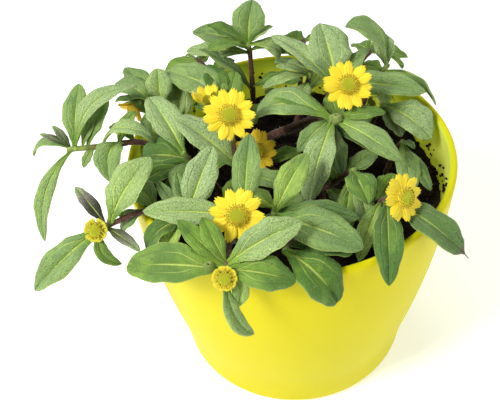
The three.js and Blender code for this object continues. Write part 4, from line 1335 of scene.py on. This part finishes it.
def build_soil(material, crumb_material, density):
    """Crumbly soil: a lumpy top on a closed body, and loose crumbs on it and on the pot's wall."""
    grid = []
    for i in range(SOIL_RINGS + 1):
        radius = max(AXIS, SOIL_EDGE * (1 - i / SOIL_RINGS))
        ring = []
        for j in range(SOIL_SIDES):
            angle = 2 * math.pi * j / SOIL_SIDES
            x, y = radius * math.cos(angle), radius * math.sin(angle)
            rough = SOIL_ROUGHNESS * noise.fractal(Vector((x * 0.22, y * 0.22, 3.1)), 0.8, 2.1, 5)
            ring.append(Vector((x, y, soil_top(x, y) + rough * min(1.0, i / 3))))
        grid.append(ring)
    inset = WALL_THICKNESS + SOIL_INSET
    profile = [(radius, FLOOR_THICKNESS + SOIL_GAP) for radius in (AXIS, SOIL_BASE)]
    profile += [(radius - inset, height - INSIDE_DROP) for radius, height in wall_points(8)[:7]]
    below = [circle(radius, height, SOIL_SIDES) for radius, height in profile]
    shell = Shell()
    thick = [0.0] * (len(below) * SOIL_SIDES) + [1.0] * (len(grid) * SOIL_SIDES)
    shell.add(ring_tube(below + grid), hair=thick)
    bed = shell.object("soil_bed", [material], 60)
    finish_piece(bed, "potting_soil", "soil")
    tree, crumb, band = scatter_tree(), crumb_shape(), wall_band()
    for surface, name in ((bed, "soil_crumbs"), (band, "wall_crumbs")):
        share, smallest, largest, lean, seed = CRUMBS[name]
        crumbs = run_tree(surface, tree, {
            "Copy": crumb, "Density": density * share, "Smallest": smallest, "Largest": largest,
            "Lean": lean, "Seed": seed, "Material": crumb_material,
        }, name)
        finish_piece(object_of(crumbs, name), "potting_soil")
    drop(crumb, band)


# Add-on


def colour_property(name, description, *screen_colour):
    """A colour that the user can change."""
    return bpy.props.FloatVectorProperty(
        name=name, description=description, subtype="COLOR", size=4, default=linear(*screen_colour),
        min=0, max=1)


def size_property(name, description, default, unit="NONE"):
    """A number that the user can change."""
    return bpy.props.FloatProperty(name=name, description=description, default=default, min=0, unit=unit)


class PotSettings(bpy.types.PropertyGroup):
    wall_colour: colour_property("Wall colour", "Colour of the pot's outside", 219, 206, 10)
    # Painted light: the inside colour is a lighter, greener copy of the plastic, standing in for light
    # through the thin wall
    inside_painted_light_colour: colour_property("Inside colour", "Colour of the pot's inner wall", 234, 255, 112)


class SoilSettings(bpy.types.PropertyGroup):
    colour: colour_property("Soil colour", "Colour of moist soil", 38, 29, 23)
    crumb_density: size_property("Crumb density", "Loose crumbs on each square metre", 230000.0)


class FoliageSettings(bpy.types.PropertyGroup):
    leaf_colour: colour_property("Leaf colour", "Colour of a mature leaf", 122, 166, 54)
    bloom_colour: colour_property("Bloom colour", "Colour of the pale bloom on some leaves", 208, 228, 174)
    vein_colour: colour_property("Vein colour", "Colour of the side veins and margins", 204, 222, 118)
    hair_length: size_property("Hair length", "Length of the leaves' hairs", 0.8 * MM, "LENGTH")
    hair_density: size_property("Hair density", "Hairs on each square metre of leaf", 420000.0)


class BloomSettings(bpy.types.PropertyGroup):
    petal_colour: colour_property("Petal colour", "Colour of an open petal", 250, 222, 40)
    disc_colour: colour_property("Disc colour", "Colour of the closed florets", 214, 218, 62)


class StageSettings(bpy.types.PropertyGroup):
    key_energy: size_property("Key light", "Power of the large light at the front left", 9.5, "POWER")
    sky_strength: size_property("Sky", "Strength of the even white surroundings", 0.25)


class ZINNIA_OT_pot(bpy.types.Operator):
    """Builds the lime-yellow pot"""
    bl_idname = "zinnia.pot"
    bl_label = "Pot"

    def execute(self, context):
        pot = context.scene.zinnia_pot
        # The inside colour is painted light: a lighter, greener copy of the plastic for light through the
        # thin wall
        build_pot(pot_material(palette(
            # The lip colour is painted shade on the lip's inner side
            wall=pot.wall_colour, wall_deep=(213, 203, 8), lip=(192, 200, 22), inside=pot.inside_painted_light_colour,
            dust=(46, 40, 22))))
        return {"FINISHED"}


class ZINNIA_OT_soil(bpy.types.Operator):
    """Fills the pot with crumbly soil"""
    bl_idname = "zinnia.soil"
    bl_label = "Soil"

    def execute(self, context):
        soil = context.scene.zinnia_soil
        bed = plain_material("soil", linear(20, 15, 12), tuple(soil.colour), 420.0, 0.95, 0.0008, 0.15)
        crumb = plain_material("crumb", linear(26, 19, 15), linear(62, 47, 37), 900.0, 0.95, 0.0004, 0.15)
        build_soil(bed, crumb, soil.crumb_density)
        return {"FINISHED"}


class ZINNIA_OT_shoots(bpy.types.Operator):
    """Grows the leafy shoots out of the soil"""
    bl_idname = "zinnia.shoots"
    bl_label = "Shoots"

    def execute(self, context):
        foliage = context.scene.zinnia_foliage
        leaf = leaf_material(palette(
            mature=foliage.leaf_colour, young=(188, 216, 84), dark=(46, 82, 26), deep=(70, 116, 28),
            fresh=(158, 196, 62), bloom=foliage.bloom_colour, pit=(84, 122, 58), dot=(40, 70, 28),
            purple=(42, 36, 34), dried=(112, 108, 84), flush=(140, 132, 128), vein=foliage.vein_colour,
            midrib=(218, 236, 128)))
        stem = stem_material(palette(
            bark=(62, 36, 30), bark_light=(104, 66, 52), green=(112, 140, 60), green_light=(160, 180, 92)))
        for shoot in SHOOTS + rear_shoots():
            build_shoot(shoot, [leaf, stem])
        return {"FINISHED"}


class ZINNIA_OT_hairs(bpy.types.Operator):
    """Sets fine pale hairs on the leaves and stems"""
    bl_idname = "zinnia.hairs"
    bl_label = "Hairs"

    def execute(self, context):
        foliage = context.scene.zinnia_foliage
        length = foliage.hair_length / MM
        shell = Shell()
        shell.add(lathe(list(zip(HAIR_RADII, (-0.05, length * 0.5, length))), 3))
        hair = shell.object("hair", [])
        material = plain_material(
            "plant_hair", linear(196, 208, 172), linear(226, 232, 206), 900.0, 0.5, 0.0001)
        tree = scatter_tree()
        joined = bmesh.new()
        for index, shoot in enumerate(SHOOTS + rear_shoots()):
            carrier = bpy.data.objects[shoot["name"] + "_foliage"]
            mesh = run_tree(carrier, tree, {
                "Copy": hair, "Density": foliage.hair_density, **HAIR_SPREAD, "Seed": index,
                "Material": material,
            }, "hairs")
            joined.from_mesh(mesh)
            bpy.data.meshes.remove(mesh)
        fuzz = bpy.data.meshes.new("plant_hairs")
        joined.to_mesh(fuzz)
        joined.free()
        fuzz.materials.append(material)
        finish_piece(object_of(fuzz, "plant_hairs"), "leaves")
        drop(hair)
        return {"FINISHED"}


class ZINNIA_OT_blooms(bpy.types.Operator):
    """Sets the yellow blooms and buds on their stems"""
    bl_idname = "zinnia.blooms"
    bl_label = "Blooms"

    def execute(self, context):
        blooms = context.scene.zinnia_blooms
        materials = {
            "petal": petal_material(palette(
                petal=blooms.petal_colour, root=(250, 222, 48), pale=(252, 236, 84), unripe=(188, 196, 60),
                aged=(240, 170, 30))),
            "disc": disc_material(palette(
                disc=blooms.disc_colour, ripe=(240, 216, 60), shade=(160, 172, 44), anther=(70, 42, 24))),
        }
        trees = {"ring": ring_tree(), "florets": floret_tree()}
        tips = {shoot["name"]: Vector(shoot["stem"][-1]) for shoot in SHOOTS}
        for bloom in BLOOMS:
            build_bloom(bloom, tips[bloom["shoot"]], trees, materials)
        return {"FINISHED"}


def add_area_light(name, place, size, energy, colour):
    """A square light that faces the plant."""
    data = bpy.data.lights.new(name, "AREA")
    data.size = size
    data.energy = energy
    data.color = colour
    lamp = object_of(data, name)
    lamp.location = place
    lamp.rotation_euler = (Vector(LIGHT_TARGET) - Vector(place)).to_track_quat("-Z", "Y").to_euler()


class ZINNIA_OT_stage(bpy.types.Operator):
    """Sets the pale floor, the soft lights and the camera"""
    bl_idname = "zinnia.stage"
    bl_label = "Stage"

    def execute(self, context):
        scene = context.scene
        stage = scene.zinnia_stage
        half = FLOOR_HALF
        corners = [Vector((x, y, z)) for z in (FLOOR_BOTTOM, FLOOR_TOP) for x, y in
                   ((-half, -half), (half, -half), (half, half), (-half, half))]
        faces = [(0, 3, 2, 1), (4, 5, 6, 7), (0, 1, 5, 4), (1, 2, 6, 5), (2, 3, 7, 6), (3, 0, 4, 7)]
        floor = Shell()
        floor.add((corners, faces))
        paper = plain_material(
            "pale_floor", linear(246, 246, 245), linear(249, 249, 248), 3.0, 0.8, 0.0001, 0.1)
        shader = paper.node_tree.nodes["Principled BSDF"]
        shader.inputs["Emission Color"].default_value = (1, 1, 1, 1)
        shader.inputs["Emission Strength"].default_value = FLOOR_GLOW
        floor.object("floor", [paper])
        for name, (place, size, share, colour) in LIGHTS.items():
            add_area_light(name, place, size, stage.key_energy * share, colour)
        world = bpy.data.worlds.new("even_white")
        world.use_nodes = True
        background = world.node_tree.nodes["Background"]
        background.inputs["Color"].default_value = (1, 1, 1, 1)
        background.inputs["Strength"].default_value = stage.sky_strength
        scene.world = world
        scene.view_settings.view_transform = "Standard"
        camera = bpy.data.cameras.new("view")
        camera.lens = CAMERA_LENS
        camera.sensor_width = CAMERA_SENSOR
        camera.clip_start = 0.01
        eye = object_of(camera, "view")
        back = [-value for value in CAMERA_FORWARD]
        turn = Matrix((CAMERA_RIGHT, CAMERA_UP, back)).transposed().to_4x4()
        eye.matrix_world = Matrix.Translation(Vector(CAMERA_PLACE) * MM) @ turn
        scene.camera = eye
        return {"FINISHED"}


OPERATORS = (
    ZINNIA_OT_stage, ZINNIA_OT_pot, ZINNIA_OT_soil, ZINNIA_OT_shoots, ZINNIA_OT_hairs, ZINNIA_OT_blooms,
)
SETTINGS = {
    "zinnia_pot": PotSettings,
    "zinnia_soil": SoilSettings,
    "zinnia_foliage": FoliageSettings,
    "zinnia_blooms": BloomSettings,
    "zinnia_stage": StageSettings,
}


class ZINNIA_PT_panel(bpy.types.Panel):
    """Lists the pieces of the plant"""
    bl_label = "Potted creeping zinnia"
    bl_idname = "ZINNIA_PT_panel"
    bl_space_type = "VIEW_3D"
    bl_region_type = "UI"
    bl_category = "Zinnia"

    def draw(self, context):
        for name, group in SETTINGS.items():
            box = self.layout.box()
            for key in group.__annotations__:
                box.prop(getattr(context.scene, name), key)
        for operator in OPERATORS:
            self.layout.operator(operator.bl_idname)


CLASSES = (*SETTINGS.values(), *OPERATORS, ZINNIA_PT_panel)


def register():
    for group in CLASSES:
        bpy.utils.register_class(group)
    for name, group in SETTINGS.items():
        setattr(bpy.types.Scene, name, bpy.props.PointerProperty(type=group))


def unregister():
    for name in SETTINGS:
        delattr(bpy.types.Scene, name)
    for group in reversed(CLASSES):
        bpy.utils.unregister_class(group)


def main():
    register()
    bpy.ops.zinnia.stage()
    bpy.ops.zinnia.pot()
    bpy.ops.zinnia.soil()
    bpy.ops.zinnia.shoots()
    bpy.ops.zinnia.hairs()
    bpy.ops.zinnia.blooms()


if __name__ == "__main__":
    main()
